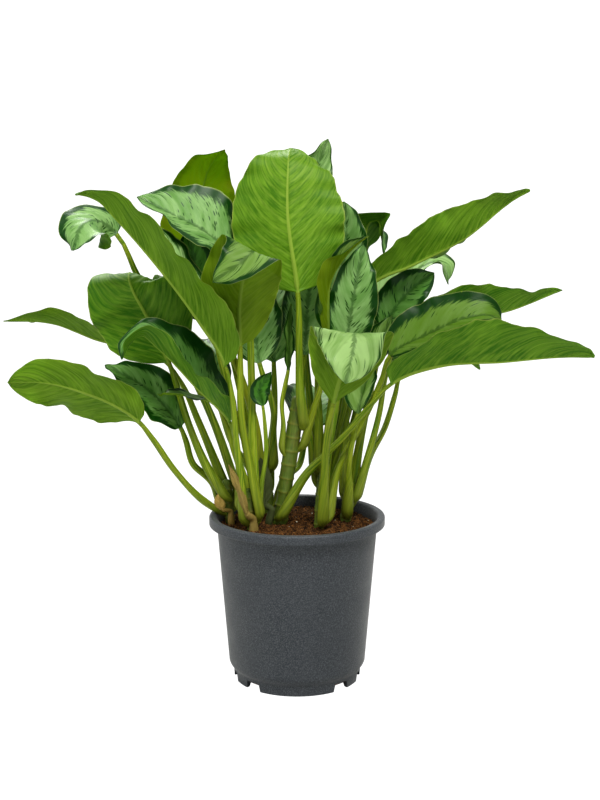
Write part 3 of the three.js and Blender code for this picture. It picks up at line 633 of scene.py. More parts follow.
def leaf_under(settings):
    """The underside: an even mid green, paler and duller than the top, with a pale raised midrib and
    faint side veins that curve towards the tip."""
    material, tree = new_material("aglaonema_leaf_underside")
    _, across, along, _ = carried(tree, "place")
    grain, _, _, _ = carried(tree, "grain")
    _, phase, rib, _ = carried(tree, "veins")
    _, yellow, _, _ = carried(tree, "tone")
    reach = add(tree, "ShaderNodeMath", {0: across}, operation="ABSOLUTE")
    cloud = add(tree, "ShaderNodeTexNoise", {"Vector": grain, "Scale": 1 / 34, "Detail": 3.0})
    drawn_out = add(tree, "ShaderNodeMapping", {"Vector": grain, "Scale": (1.0, 0.25, 1.0)})
    streak = add(tree, "ShaderNodeTexNoise", {"Vector": drawn_out, "Scale": 1 / 3.2, "Detail": 4.0})
    uneven = add(tree, "ShaderNodeMath", {0: cloud, 1: 0.6, 2: streak}, operation="MULTIPLY_ADD")
    deeper = add(
        tree, "ShaderNodeMapRange",
        {"Value": uneven, "From Min": 0.62, "From Max": 0.98, "To Min": 0.0, "To Max": 1.0},
    )
    base = add(
        tree, "ShaderNodeMix", {FACTOR: deeper, FIRST: settings.under, SECOND: colour("#739e28")}, MIXED,
        data_type="RGBA",
    )
    # the tone's yellow is partly the real yellow of young leaves and partly a painted glow on backlit leaves
    youth_and_backlight_glow = add(tree, "ShaderNodeMath", {0: yellow, 1: 0.75}, operation="MULTIPLY", use_clamp=True)
    warm = add(
        tree, "ShaderNodeMix", {FACTOR: youth_and_backlight_glow, FIRST: base, SECOND: settings.young}, MIXED, data_type="RGBA"
    )
    # below 0 the tone darkens the underside towards deep green #2f6a14: painted shade for leaves that sit in
    # shadow
    painted_shade_share = add(tree, "ShaderNodeMapRange", {"Value": yellow, "From Min": -1.0, "From Max": 0.0,
                                           "To Min": 0.85, "To Max": 0.0})
    shade_darkened_under = add(
        tree, "ShaderNodeMix", {FACTOR: painted_shade_share, FIRST: warm, SECOND: colour("#2f6a14")}, MIXED, data_type="RGBA"
    )
    # side veins: pale lines that fade out over a fifth of the gap on each side
    strayed = add(tree, "ShaderNodeMath", {0: cloud, 1: 1.1, 2: phase}, operation="MULTIPLY_ADD")
    cycle = add(tree, "ShaderNodeMath", {0: strayed, 1: 0.5}, operation="PINGPONG")
    line = add(
        tree, "ShaderNodeMapRange",
        {"Value": cycle, "From Min": 0.01, "From Max": 0.20, "To Min": 0.27, "To Max": 0.0},
        interpolation_type="SMOOTHSTEP",
    )
    ends = add(
        tree, "ShaderNodeMapRange",
        {"Value": reach, "From Min": 0.55, "From Max": 0.95, "To Min": 1.0, "To Max": 0.0},
    )
    vein = add(tree, "ShaderNodeMath", {0: line, 1: ends}, operation="MULTIPLY")
    keel = add(
        tree, "ShaderNodeMapRange",
        {"Value": rib, "From Min": 0.75, "From Max": 1.25, "To Min": 0.92, "To Max": 0.0},
        interpolation_type="SMOOTHSTEP",
    )
    towards_tip = add(
        tree, "ShaderNodeMapRange",
        {"Value": along, "From Min": 0.55, "From Max": 1.0, "To Min": 1.0, "To Max": 0.35},
    )
    midrib = add(tree, "ShaderNodeMath", {0: keel, 1: towards_tip}, operation="MULTIPLY")
    pale = add(tree, "ShaderNodeMath", {0: vein, 1: midrib}, operation="MAXIMUM")
    veined = add(
        tree, "ShaderNodeMix", {FACTOR: pale, FIRST: shade_darkened_under, SECOND: settings.rib}, MIXED, data_type="RGBA"
    )
    rim = add(
        tree, "ShaderNodeMapRange", {"Value": reach, "From Min": 0.97, "From Max": 0.995, "To Max": 0.5}
    )
    tint = add(
        tree, "ShaderNodeMix", {FACTOR: rim, FIRST: veined, SECOND: colour("#b4bd62")}, MIXED,
        data_type="RGBA",
    )
    skin = add(tree, "ShaderNodeTexNoise", {"Vector": grain, "Scale": 1 / 1.1, "Detail": 2.0})
    bump = add(tree, "ShaderNodeBump", {"Height": skin, "Strength": 0.4, "Distance": 0.12 * MM})
    glow = add(
        tree, "ShaderNodeMix", {FACTOR: 0.45, FIRST: tint, SECOND: colour("#76b00c")}, MIXED, data_type="RGBA"
    )
    clear = add(tree, "ShaderNodeMapRange", {"Value": yellow, "To Min": 0.18, "To Max": 0.75})
    living_surface(tree, tint, glow, 0.52, bump, clear)
    return material


def petiole_skin(settings):
    """A petiole: firm and smooth, mid green with fine lengthwise ribs, paler where it clasps the cane."""
    material, tree = new_material("aglaonema_petiole")
    grain, _, height, _ = carried(tree, "grain")
    _, yellow, _, _ = carried(tree, "tone")
    # ribs about 1.6 mm apart that run along it
    drawn_out = add(tree, "ShaderNodeMapping", {"Vector": grain, "Scale": (1.0, 0.03, 1.0)})
    ribs = add(tree, "ShaderNodeTexNoise", {"Vector": drawn_out, "Scale": 1 / 1.6, "Detail": 3.0})
    cloud = add(tree, "ShaderNodeTexNoise", {"Vector": drawn_out, "Scale": 1 / 5.0, "Detail": 2.0})
    share = add(tree, "ShaderNodeMapRange", {"Value": ribs, "From Min": 0.35, "From Max": 0.68})
    base = add(
        tree, "ShaderNodeMix", {FACTOR: share, FIRST: colour("#5b810c"), SECOND: colour("#aebb38")}, MIXED,
        data_type="RGBA",
    )
    # the tone's yellow is partly the real yellow of young leaves and partly a painted glow on backlit leaves
    youth_and_backlight_glow = add(tree, "ShaderNodeMath", {0: yellow, 1: 0.8}, operation="MULTIPLY", use_clamp=True)
    warm = add(
        tree, "ShaderNodeMix", {FACTOR: youth_and_backlight_glow, FIRST: base, SECOND: colour("#a3ad2c")}, MIXED,
        data_type="RGBA",
    )
    low = add(
        tree, "ShaderNodeMapRange",
        {"Value": height, "From Min": 2.0, "From Max": 46.0, "To Min": 0.6, "To Max": 0.0},
    )
    clasp = add(
        tree, "ShaderNodeMix", {FACTOR: low, FIRST: warm, SECOND: colour("#96a03c")}, MIXED, data_type="RGBA"
    )
    shade = add(tree, "ShaderNodeMapRange", {"Value": cloud, "From Min": 0.35, "From Max": 0.7,
                                             "To Max": 0.4})
    tint = add(
        tree, "ShaderNodeMix", {FACTOR: shade, FIRST: clasp, SECOND: colour("#2b5508")}, MIXED,
        data_type="RGBA",
    )
    bump = add(tree, "ShaderNodeBump", {"Height": ribs, "Strength": 0.5, "Distance": 0.4 * MM})
    glow = add(
        tree, "ShaderNodeMix", {FACTOR: 0.3, FIRST: tint, SECOND: colour("#9ab82a")}, MIXED, data_type="RGBA"
    )
    living_surface(tree, tint, glow, 0.38, bump, 0.12)
    return material


def cane_bark():
    """An old cane: smooth green bark with fine lengthwise cracks, and straw-coloured leaf scars."""
    material, tree = new_material("aglaonema_cane")
    grain, _, _, _ = carried(tree, "grain")
    _, ring, _, _ = carried(tree, "veins")
    drawn_out = add(tree, "ShaderNodeMapping", {"Vector": grain, "Scale": (1.0, 0.12, 1.0)})
    cracks = add(tree, "ShaderNodeTexNoise", {"Vector": drawn_out, "Scale": 1 / 2.2, "Detail": 5.0})
    cloud = add(tree, "ShaderNodeTexNoise", {"Vector": grain, "Scale": 1 / 14, "Detail": 3.0})
    green = add(
        tree, "ShaderNodeMix", {FACTOR: cracks, FIRST: colour("#34580f"), SECOND: colour("#7c8b2f")}, MIXED,
        data_type="RGBA",
    )
    scar = add(tree, "ShaderNodeMapRange", {"Value": ring, "From Min": 0.2, "From Max": 0.9, "To Max": 0.6})
    ringed = add(
        tree, "ShaderNodeMix", {FACTOR: scar, FIRST: green, SECOND: colour("#7d7f2a")}, MIXED,
        data_type="RGBA",
    )
    stain = add(
        tree, "ShaderNodeMapRange", {"Value": cloud, "From Min": 0.5, "From Max": 0.75, "To Max": 0.6}
    )
    tint = add(
        tree, "ShaderNodeMix", {FACTOR: stain, FIRST: ringed, SECOND: colour("#6f5520")}, MIXED,
        data_type="RGBA",
    )
    bump = add(tree, "ShaderNodeBump", {"Height": cracks, "Strength": 0.7, "Distance": 0.7 * MM})
    show(tree, add(tree, "ShaderNodeBsdfPrincipled", {"Base Color": tint, "Roughness": 0.6, "Normal": bump}))
    return material


def dry_sheath():
    """A withered leaf base: papery, straw to tan, with dark fibres along it."""
    material, tree = new_material("withered_leaf_base")
    grain, _, _, _ = carried(tree, "grain")
    _, _, _, brown = carried(tree, "tone")
    drawn_out = add(tree, "ShaderNodeMapping", {"Vector": grain, "Scale": (1.0, 0.06, 1.0)})
    fibres = add(tree, "ShaderNodeTexNoise", {"Vector": drawn_out, "Scale": 1 / 0.9, "Detail": 4.0})
    straw = add(
        tree, "ShaderNodeMix", {FACTOR: fibres, FIRST: colour("#7d6426"), SECOND: colour("#c9ae62")}, MIXED,
        data_type="RGBA",
    )
    tint = add(
        tree, "ShaderNodeMix", {FACTOR: brown, FIRST: straw, SECOND: colour("#24401a")}, MIXED,
        data_type="RGBA",
    )
    bump = add(tree, "ShaderNodeBump", {"Height": fibres, "Strength": 0.8, "Distance": 0.5 * MM})
    show(tree, add(tree, "ShaderNodeBsdfPrincipled", {"Base Color": tint, "Roughness": 0.8, "Normal": bump}))
    return material


# ---------------------------------------------------------------- the leaf

# How each leaf differs: how yellow it is (below 0, darker), how much silver and how many dark flecks
# it has. The yellow is partly the real yellow of young leaves and partly a painted glow on backlit leaves;
# below 0 the darker colour is painted shade for leaves that sit in shadow. The others take the first line.
TONES = {
    "": (0.0, 0.6, 0.5),
    "leaf_centre_tall": (0.08, 0.6, 0.5),
    "leaf_front_folded": (0.45, 0.45, 1.0),
    "leaf_front_cupped": (0.25, 1.0, 0.1),
    "leaf_left_long": (0.12, 0.8, 0.6),
    "leaf_left_low": (0.15, 0.7, 0.4),
    "leaf_left_low_inner": (-0.2, 0.3, 0.7),
    "leaf_left_drooping": (-0.2, 0.25, 0.8),
    "leaf_left_broad": (0.0, 0.6, 0.9),
    "leaf_left_narrow": (0.2, 0.8, 0.3),
    "leaf_left_arching": (-0.1, 0.5, 0.9),
    "leaf_left_silver": (0.0, 0.5, 1.0),
    "leaf_left_inner": (-0.7, 0.1, 0.5),
    "leaf_left_small": (0.2, 0.5, 0.3),
    "leaf_back_high_left": (1.3, 0.6, 0.5),
    "leaf_back_high_right": (0.1, 0.85, 0.3),
    "leaf_right_inner_high": (-0.1, 0.55, 0.6),
    "leaf_right_inner_drooping": (-0.1, 0.3, 0.5),
    "leaf_right_high": (0.1, 0.6, 0.5),
    "leaf_right_hooked": (0.1, 1.0, 0.3),
    "leaf_right_dark": (-0.4, 0.25, 0.7),
    "leaf_centre_silver": (-0.2, 0.5, 0.8),
    "leaf_centre_rolled": (0.6, 0.55, 0.4),
    "leaf_right_silver": (0.5, 0.25, 0.05),
    "leaf_right_slim": (0.4, 0.5, 0.3),
    "leaf_young_left": (-0.3, 0.1, 0.3),
    "leaf_young_centre": (0.3, 0.3, 0.3),
    "sheath_dry": (0.0, 0.0, 0.0),
    "sheath_stub": (0.0, 0.0, 0.35),
    "sheath_old": (0.0, 0.0, 0.9),
}

PETIOLE_STEPS = 22
SHORTEST_BLADE_STEPS = 36
LONGEST_BLADE_STEPS = 120
JOINT_SHARE = 0.05  # the share of the blade over which the petiole's oval opens into it
MIDRIB_CROWDING = 1.35  # how much closer the steps are beside the midrib
END_CROWDING = 0.55  # how much closer they are at the two ends of the blade
VEIN_SLANT = (0.20, 0.15)  # how far a side vein runs towards the tip, evenly and faster near the margin
RIPPLE_LENGTHS = (62 * MM, 37 * MM, 23 * MM)
RIPPLE_HEIGHTS = (0.9, 0.6, 0.35)
OUTLINE_LENGTHS = (55 * MM, 29 * MM, 13 * MM)
OUTLINE_HEIGHTS = (0.010, 0.008, 0.005)
PETIOLE_STOUTNESS = 0.28  # how much stouter than the frame's plain tube, and how much more at its foot
SHEATH_BREADTH = 0.34
HEEL_LENGTH = 17 * MM
HEEL_REACH = 7 * MM
HEEL_PLACES = np.array([0.97, 0.85, 0.65, 0.45, 0.22])
GROOVE_DEPTH = 0.5 * MM
GROOVE_WIDTH = 1.8 * MM


def crowded_steps(count):
    """Shares from 0 to just under 1, closer together at both ends."""
    even = np.arange(count) / count
    return even - END_CROWDING * np.sin(2 * math.pi * even) / (2 * math.pi)


def half_curve(centre, quarter, margin, reach):
    """Points from the midrib out to one margin, on a curve through the middle of the half blade."""
    near = (1 - reach) * (1 - 2 * reach)
    between = 4 * reach * (1 - reach)
    far = reach * (2 * reach - 1)
    return (
        centre[:, None] * near[..., None]
        + quarter[:, None] * between[..., None]
        + margin[:, None] * far[..., None]
    )


def blade_surface(rings, share, length, steps, settings, chance):
    """The blade through these rings, as points round each one, and what they carry."""
    up = unit(rings[:, MIDDLE_ABOVE] - rings[:, KEEL])
    centre = rings[:, MIDDLE_ABOVE] - FRAME_HALF_THICKNESS * up
    quarters = {
        -1: (rings[:, LEFT_ABOVE] + rings[:, LEFT_BELOW]) / 2,
        1: (rings[:, RIGHT_ABOVE] + rings[:, RIGHT_BELOW]) / 2,
    }
    margins = {-1: rings[:, LEFT], 1: rings[:, RIGHT]}
    even = np.linspace(0, 1, steps + 1)
    reach = even**MIDRIB_CROWDING
    travelled = share * length
    sheets, distances, ripples = {}, {}, {}
    for side in (-1, 1):
        phases = chance.uniform(0, 2 * math.pi, 6)
        uneven = 1 + swell(travelled, OUTLINE_LENGTHS, OUTLINE_HEIGHTS, phases[:3])
        pushed = reach[None, :] + (uneven[:, None] - 1) * reach[None, :] ** 3
        sheets[side] = half_curve(centre, quarters[side], margins[side], pushed)
        width = np.linalg.norm(quarters[side] - centre, axis=1)
        width = width + np.linalg.norm(margins[side] - quarters[side], axis=1)
        distances[side] = side * pushed * width[:, None]
        lift = swell(travelled, RIPPLE_LENGTHS, RIPPLE_HEIGHTS, phases[3:])
        calm = ease(share, 0.02, 0.25) * (1 - 0.5 * ease(share, 0.85, 1))
        ripples[side] = (lift * calm)[:, None] * reach[None, :] ** 2.4 * settings.ripple
    middle = np.concatenate([sheets[-1][:, ::-1], sheets[1][:, 1:]], axis=1)
    distance = np.concatenate([distances[-1][:, ::-1], distances[1][:, 1:]], axis=1)
    ripple = np.concatenate([ripples[-1][:, ::-1], ripples[1][:, 1:]], axis=1)
    across = np.concatenate([-reach[::-1], reach[1:]])
    lean_out = np.gradient(middle, axis=1)
    ahead = np.gradient(middle, axis=0)
    normal = np.cross(lean_out, ahead)
    weak = np.linalg.norm(normal, axis=-1, keepdims=True) < 1e-12
    normal = unit(np.where(weak, up[:, None], normal))
    # side veins leave the midrib in turn on its two sides and sweep towards the tip
    size = np.abs(across)
    slant = VEIN_SLANT[0] * size + VEIN_SLANT[1] * size**2
    turn_about = 0.25 * across / np.sqrt(across**2 + 0.05**2)
    start = share[:, None] - slant[None, :]
    phase = start * length / settings.vein_gap + turn_about[None, :]
    vein = (0.5 + 0.5 * np.cos(2 * math.pi * phase)) ** 2
    fade = (ease(size, 0.02, 0.14) * (1 - ease(size, 0.7, 1)))[None, :] * ease(share, 0, 0.1)[:, None]
    relief = ripple - settings.vein_depth * vein * fade
    groove = GROOVE_DEPTH * np.exp(-((distance / GROOVE_WIDTH) ** 2)) * (1 - share[:, None])
    half = 0.5 * settings.thickness * np.sqrt(1 - size**4)[None, :]
    rib_radius = np.linalg.norm(rings[:, BESIDE_KEEL_RIGHT] - rings[:, BESIDE_KEEL_LEFT], axis=1) / 2
    rib_height = np.linalg.norm(rings[:, MIDDLE_ABOVE] - rings[:, KEEL], axis=1) - 2 * FRAME_HALF_THICKNESS
    rib = np.abs(distance) / np.maximum(rib_radius, 0.3 * MM)[:, None]
    keel = np.maximum(rib_height, 0)[:, None] * np.clip(1 - (rib / 1.3) ** 2, 0, 1) ** 1.5
    above = middle + normal * (relief + half - groove)[..., None]
    below = middle + normal * (relief - half - keel)[..., None]
    place = np.stack(np.broadcast_arrays(across[None, :], share[:, None], 0 * phase), -1)
    grain = np.stack([start * length / MM, distance / MM, 0 * phase], -1)
    veins = np.stack([phase, rib, 0 * phase], -1)
    inner = slice(2 * steps - 1, 0, -1)
    carries = {
        key: np.concatenate([value, value[:, inner]], axis=1)
        for key, value in (("place", place), ("grain", grain), ("veins", veins))
    }
    return np.concatenate([above, below[:, inner]], axis=1), carries


def grow_leaf(name, materials, settings, number):
    """Makes one fine leaf through a frame leaf's rings."""
    chance = np.random.default_rng(number)
    rings, tip = rings_of(name)
    spine = (rings[:, MIDDLE_ABOVE] + rings[:, KEEL]) / 2
    chain = np.vstack([spine, tip])
    places = np.concatenate([[0], np.cumsum(np.linalg.norm(np.diff(chain, axis=0), axis=1))])
    joint = places[PETIOLE_RINGS]
    length = places[-1] - joint
    blade_steps = int(np.clip(length / settings.spacing, SHORTEST_BLADE_STEPS, LONGEST_BLADE_STEPS))
    wanted = np.concatenate(
        [
            np.linspace(0, joint, PETIOLE_STEPS, endpoint=False),
            joint + crowded_steps(blade_steps) * length,
        ]
    )
    offsets = np.vstack([(rings - spine[:, None]).reshape(len(rings), -1), np.zeros(3 * RING_POINTS)])
    centres = curve_through(places, chain, wanted, steady=False)
    spread = curve_through(places, offsets, wanted, steady=True).reshape(-1, RING_POINTS, 3)
    # the petiole is stout, with a broad sheath at its foot that clasps the cane and ends on a heel
    up_it = wanted / joint
    stout = PETIOLE_STOUTNESS + SHEATH_BREADTH * (1 - ease(up_it, 0, 0.5))
    spread = spread * (1 + stout * (1 - ease(up_it, 0.75, 1)))[:, None, None]
    inward = unit(rings[0, MIDDLE_ABOVE] - rings[0, KEEL])
    upward = unit(spine[1] - spine[0])
    drop = HEEL_PLACES[:, None]
    heel = spine[0] - HEEL_LENGTH * drop * upward + HEEL_REACH * drop**2 * inward
    heel_rings = heel[:, None] + spread[0] * np.sqrt(1 - drop[:, None] ** 2)
    foot = spine[0] - HEEL_LENGTH * upward + HEEL_REACH * inward
    fine = np.concatenate([heel_rings, centres[:, None] + spread])
    wanted = np.concatenate([-HEEL_PLACES * HEEL_LENGTH, wanted])
    stem_rows = PETIOLE_STEPS + len(HEEL_PLACES)
    share = (wanted - joint) / length
    steps = settings.across
    flat, carries = blade_surface(fine, np.clip(share, 0, 1), length, steps, settings, chance)
    above = np.linspace(0, RIGHT, 2 * steps + 1)
    below = np.linspace(RIGHT, RING_POINTS, 2 * steps + 1)[1:-1]
    turns = np.concatenate([above, below])
    tube = round_curve(fine, turns)
    opened = ease(share, 0, JOINT_SHARE)[:, None, None]
    points = tube * (1 - opened) + flat * opened
    # along the petiole the grain is the way round it and the height above its foot
    radius = np.linalg.norm(fine[:, RIGHT] - fine[:, LEFT], axis=1) / 2
    round_mm = (turns / RING_POINTS)[None, :] * 2 * math.pi * radius[:stem_rows, None] / MM
    carries["grain"][:stem_rows, :, 0] = round_mm
    carries["grain"][:stem_rows, :, 1] = wanted[:stem_rows, None] / MM
    carries["grain"][..., 2] = GRAIN_APART * number
    count = points.shape[1]
    rows = len(points)
    tone = TONES.get(name, TONES[""])
    flat_carries = {key: with_ends(value) for key, value in carries.items()}
    flat_carries["tone"] = np.tile(tone, (rows * count + 2, 1))
    vertices = np.vstack([points.reshape(-1, 3), foot, tip])
    faces = closed_tube(rows, count)
    row, column = np.divmod(np.arange((rows - 1) * count), count)
    upper, under, petiole = 0, 1, 2
    indices = list(np.where(row < stem_rows, petiole, np.where(column < 2 * steps, upper, under)))
    for j in range(count):
        indices += [petiole, upper if j < 2 * steps else under]
    piece = make_piece(f"{name}_grown", vertices, faces, materials, indices, flat_carries, LEAF_CREASE)
    stands_for(piece, name)


# ---------------------------------------------------------------- canes

CANE_SIDES = 40
CANE_STEP = 1.6 * MM
CANE_UNEVEN = 0.35 * MM


def grow_cane(name, material, number):
    """A fine cane through the rings of a frame cane, with swollen leaf scars."""
    mesh, level = levels_of(name)
    last = max(level.values())
    groups = [[np.array(v.co) for v in level if level[v] == k] for k in range(last + 1)]
    mesh.free()
    centres = np.array([np.mean(g, axis=0) for g in groups])
    radii = np.array([np.mean(np.linalg.norm(np.array(g) - c, axis=1)) for g, c in zip(groups, centres)])
    axis = unit(centres[-1] - centres[0])
    heights = (centres - centres[0]) @ axis
    order = np.argsort(heights[1:-1], kind="stable") + 1
    inner_heights, inner_radii = heights[order], radii[order]
    wanted = np.arange(inner_heights[0], inner_heights[-1], CANE_STEP)
    thick = np.interp(wanted, inner_heights, inner_radii)
    usual = np.median(inner_radii)
    swelling = np.clip((thick - usual) / (0.8 * max(inner_radii.max() - usual, 1e-6)), 0, 1)
    side = unit(np.cross(axis, [0, 1, 0]))
    other = np.cross(axis, side)
    angles = np.linspace(0, 2 * math.pi, CANE_SIDES, endpoint=False)
    chance = np.random.default_rng(number)
    phases = chance.uniform(0, 2 * math.pi, 4)
    lumps = (
        np.sin(2 * angles[None, :] + wanted[:, None] / (19 * MM) + phases[0])
        + 0.6 * np.sin(3 * angles[None, :] - wanted[:, None] / (11 * MM) + phases[1])
        + 0.4 * np.sin(7 * angles[None, :] + wanted[:, None] / (6 * MM) + phases[2])
    )
    radius = thick[:, None] + CANE_UNEVEN * lumps
    around = np.cos(angles)[None, :, None] * side + np.sin(angles)[None, :, None] * other
    points = centres[0] + wanted[:, None, None] * axis + radius[..., None] * around
    rows = len(points)
    grain = np.stack(
        np.broadcast_arrays(
            angles[None, :] * usual / MM,
            wanted[:, None] / MM,
            np.full((rows, CANE_SIDES), GRAIN_APART * number),
        ),
        -1,
    )
    ring = np.stack(np.broadcast_arrays(swelling[:, None], 0 * radius, 0 * radius), -1)
    faces = closed_tube(rows, CANE_SIDES)
    vertices = np.vstack([points.reshape(-1, 3), centres[0], centres[-1]])
    carries = {"grain": with_ends(grain), "veins": with_ends(ring)}
    piece = make_piece(f"{name}_grown", vertices, faces, [material], None, carries, CANE_CREASE)
    stands_for(piece, name)


# ---------------------------------------------------------------- pot and soil

NOTCH_PAIRS = (60, 180, 300)  # degrees round from the front
NOTCH_SPREAD = 17
NOTCH_WIDTH = 25 * MM
NOTCH_HEIGHT = 11 * MM
NOTCH_CUT = 24 * MM
BASE_UNDERSIDE = 5 * MM
BASE_THICKNESS = 2.2 * MM
PAD_RADIUS = 18 * MM
FOOT_RING = 6 * MM
SOIL_GAP = 0.35 * MM
SOIL_CROWN = 3 * MM  # how much higher the peat is in the middle
GRAIN_DENTS = 900.0  # the scale of the dents in a crumb, and how deep they are
DENT_DEPTH = 1.6 * MM
FULL_TURN = (6.283, 6.283, 6.283)
SMALLEST_GRAIN = (0.25, 0.25, 0.25)
NOTCH_TOP_LEAN = 0.86  # how wide a notch is at its top and at its foot, as shares of its width
NOTCH_FOOT_LEAN = 1.06
NOTCH_UNDERCUT = 2 * MM
SOIL_RINGS = 64
SOIL_SIDES = 168


def pot_outline(pot):
    """The pot's section from the middle of its underside, out, up, over the rim and back down inside."""
    lip_under = pot.height - pot.lip
    edge = 3 * MM
    small = 0.9 * MM
    slope = (pot.body_top - pot.body_foot) / (lip_under - pot.step)
    inner_top = pot.body_top - pot.wall
    # the pad in the middle, the raised base and the ring that the pot stands on
    outline = [(0, 0), (PAD_RADIUS - small, 0)]
    outline += [(PAD_RADIUS, small), (PAD_RADIUS + 1.5 * MM, BASE_UNDERSIDE)]
    outline += [(pot.foot - FOOT_RING - 1 * MM, BASE_UNDERSIDE), (pot.foot - FOOT_RING, small)]
    outline += [(pot.foot - FOOT_RING + small, 0), (pot.foot - small, 0)]
    outline += arc((pot.foot - small, small), small, -60, 0, 4)
    # up the foot and over the step to the wall
    outline += [(pot.foot + 0.8 * MM, pot.step / 2), (pot.foot + 1.4 * MM, pot.step - 9 * MM)]
    outline += [(pot.body_foot - 3.2 * MM, pot.step - 6 * MM), (pot.body_foot - 1.2 * MM, pot.step - 3 * MM)]
    outline += [(pot.body_foot, pot.step), (pot.body_foot + slope * 4 * MM, pot.step + 4 * MM)]
    for share in (0.25, 0.5, 0.75, 0.97):
        height = pot.step + share * (lip_under - pot.step)
        outline.append((pot.body_foot + slope * (height - pot.step), height))
    # the fillet under the lip, then its round lower and upper edges and the round inside of the rim
    outline += [(pot.body_top + 0.4 * MM, lip_under - 1.2 * MM)]
    outline += [(pot.body_top + 1.6 * MM, lip_under + 0.4 * MM), (pot.rim_radius - edge, lip_under)]
    outline += arc((pot.rim_radius - 1.4 * MM, lip_under + 1.6 * MM), 1.4 * MM, -80, 0, 6)
    outline += arc((pot.rim_radius - edge, pot.height - edge), edge, 0, 90, 10)
    outline += [(pot.rim_radius - 5 * MM, pot.height - 0.2 * MM)]
    outline += arc((pot.rim_radius - 7 * MM, pot.height - 3.6 * MM), 3.2 * MM, 80, 170, 7)
    outline += [(inner_top + 0.2 * MM, lip_under + 4 * MM), (inner_top, lip_under)]
    outline += [(pot.body_foot - pot.wall, pot.step), (pot.foot + 0.8 * MM - pot.wall, pot.step / 2)]
    base_top = BASE_UNDERSIDE + BASE_THICKNESS
    outline += [(pot.foot - 2.5 * MM, base_top), (0, base_top)]
    return outline


def cut_notches(piece, pot):
    """Cuts the drainage notches through the foot of the wall."""
    cutters = bmesh.new()
    for pair in NOTCH_PAIRS:
        for side in (-1, 1):
            angle = math.radians(pair + side * NOTCH_SPREAD)
            box = bmesh.ops.create_cube(cutters, size=1)["verts"]
            for vertex in box:
                lean = NOTCH_TOP_LEAN if vertex.co.z > 0 else NOTCH_FOOT_LEAN
                x = vertex.co.x * NOTCH_WIDTH * lean
                y = vertex.co.y * NOTCH_CUT - pot.foot
                z = (vertex.co.z + 0.5) * (NOTCH_HEIGHT + NOTCH_UNDERCUT) - NOTCH_UNDERCUT
                vertex.co = Vector(
                    (
                        x * math.cos(angle) - y * math.sin(angle),
                        x * math.sin(angle) + y * math.cos(angle),
                        z,
                    )
                )
    mesh = bpy.data.meshes.new("notch_cutters")
    cutters.to_mesh(mesh)
    cutters.free()
    tool = bpy.data.objects.new("notch_cutters", mesh)
    bpy.context.scene.collection.objects.link(tool)
    cut = piece.modifiers.new("notches", "BOOLEAN")
    cut.operation = "DIFFERENCE"
    cut.solver = "EXACT"
    cut.object = tool
    settle(piece)
    bpy.data.objects.remove(tool)


def settle(piece):
    """Turns a piece's modifiers into its plain mesh."""
    graph = bpy.context.evaluated_depsgraph_get()
    made = bpy.data.meshes.new_from_object(piece.evaluated_get(graph))
    piece.modifiers.clear()
    piece.data = made


def make_pot(pot):
    """The pot, turned in one piece with its drainage notches."""
    points, faces = turned(pot_outline(pot), pot.sides)
    piece = make_piece("nursery_pot", points, faces, [pot_plastic(pot)], sharp=POT_CREASE)
    cut_notches(piece, pot)
    piece.data.set_sharp_from_angle(angle=math.radians(POT_CREASE))
    stands_for(piece, "pot")


def soil_height(x, y, low, high, rim, roughness):
    """The peat's surface: a shallow mound with lumps of several sizes."""
    mound = low + (high - low) * (1 - (x * x + y * y) / rim**2)
    lumps = (
        0.5 * np.sin(x / (9 * MM) + 1.3) * np.cos(y / (7.5 * MM) + 0.4)
        + 0.35 * np.sin((x + 1.7 * y) / (4.1 * MM)) * np.cos((1.3 * x - y) / (5.3 * MM) + 2.0)
        + 0.25 * np.sin((2.1 * x - y) / (2.3 * MM) + 0.7) * np.sin((x + 2.3 * y) / (2.7 * MM))
    )
    return mound + roughness * lumps


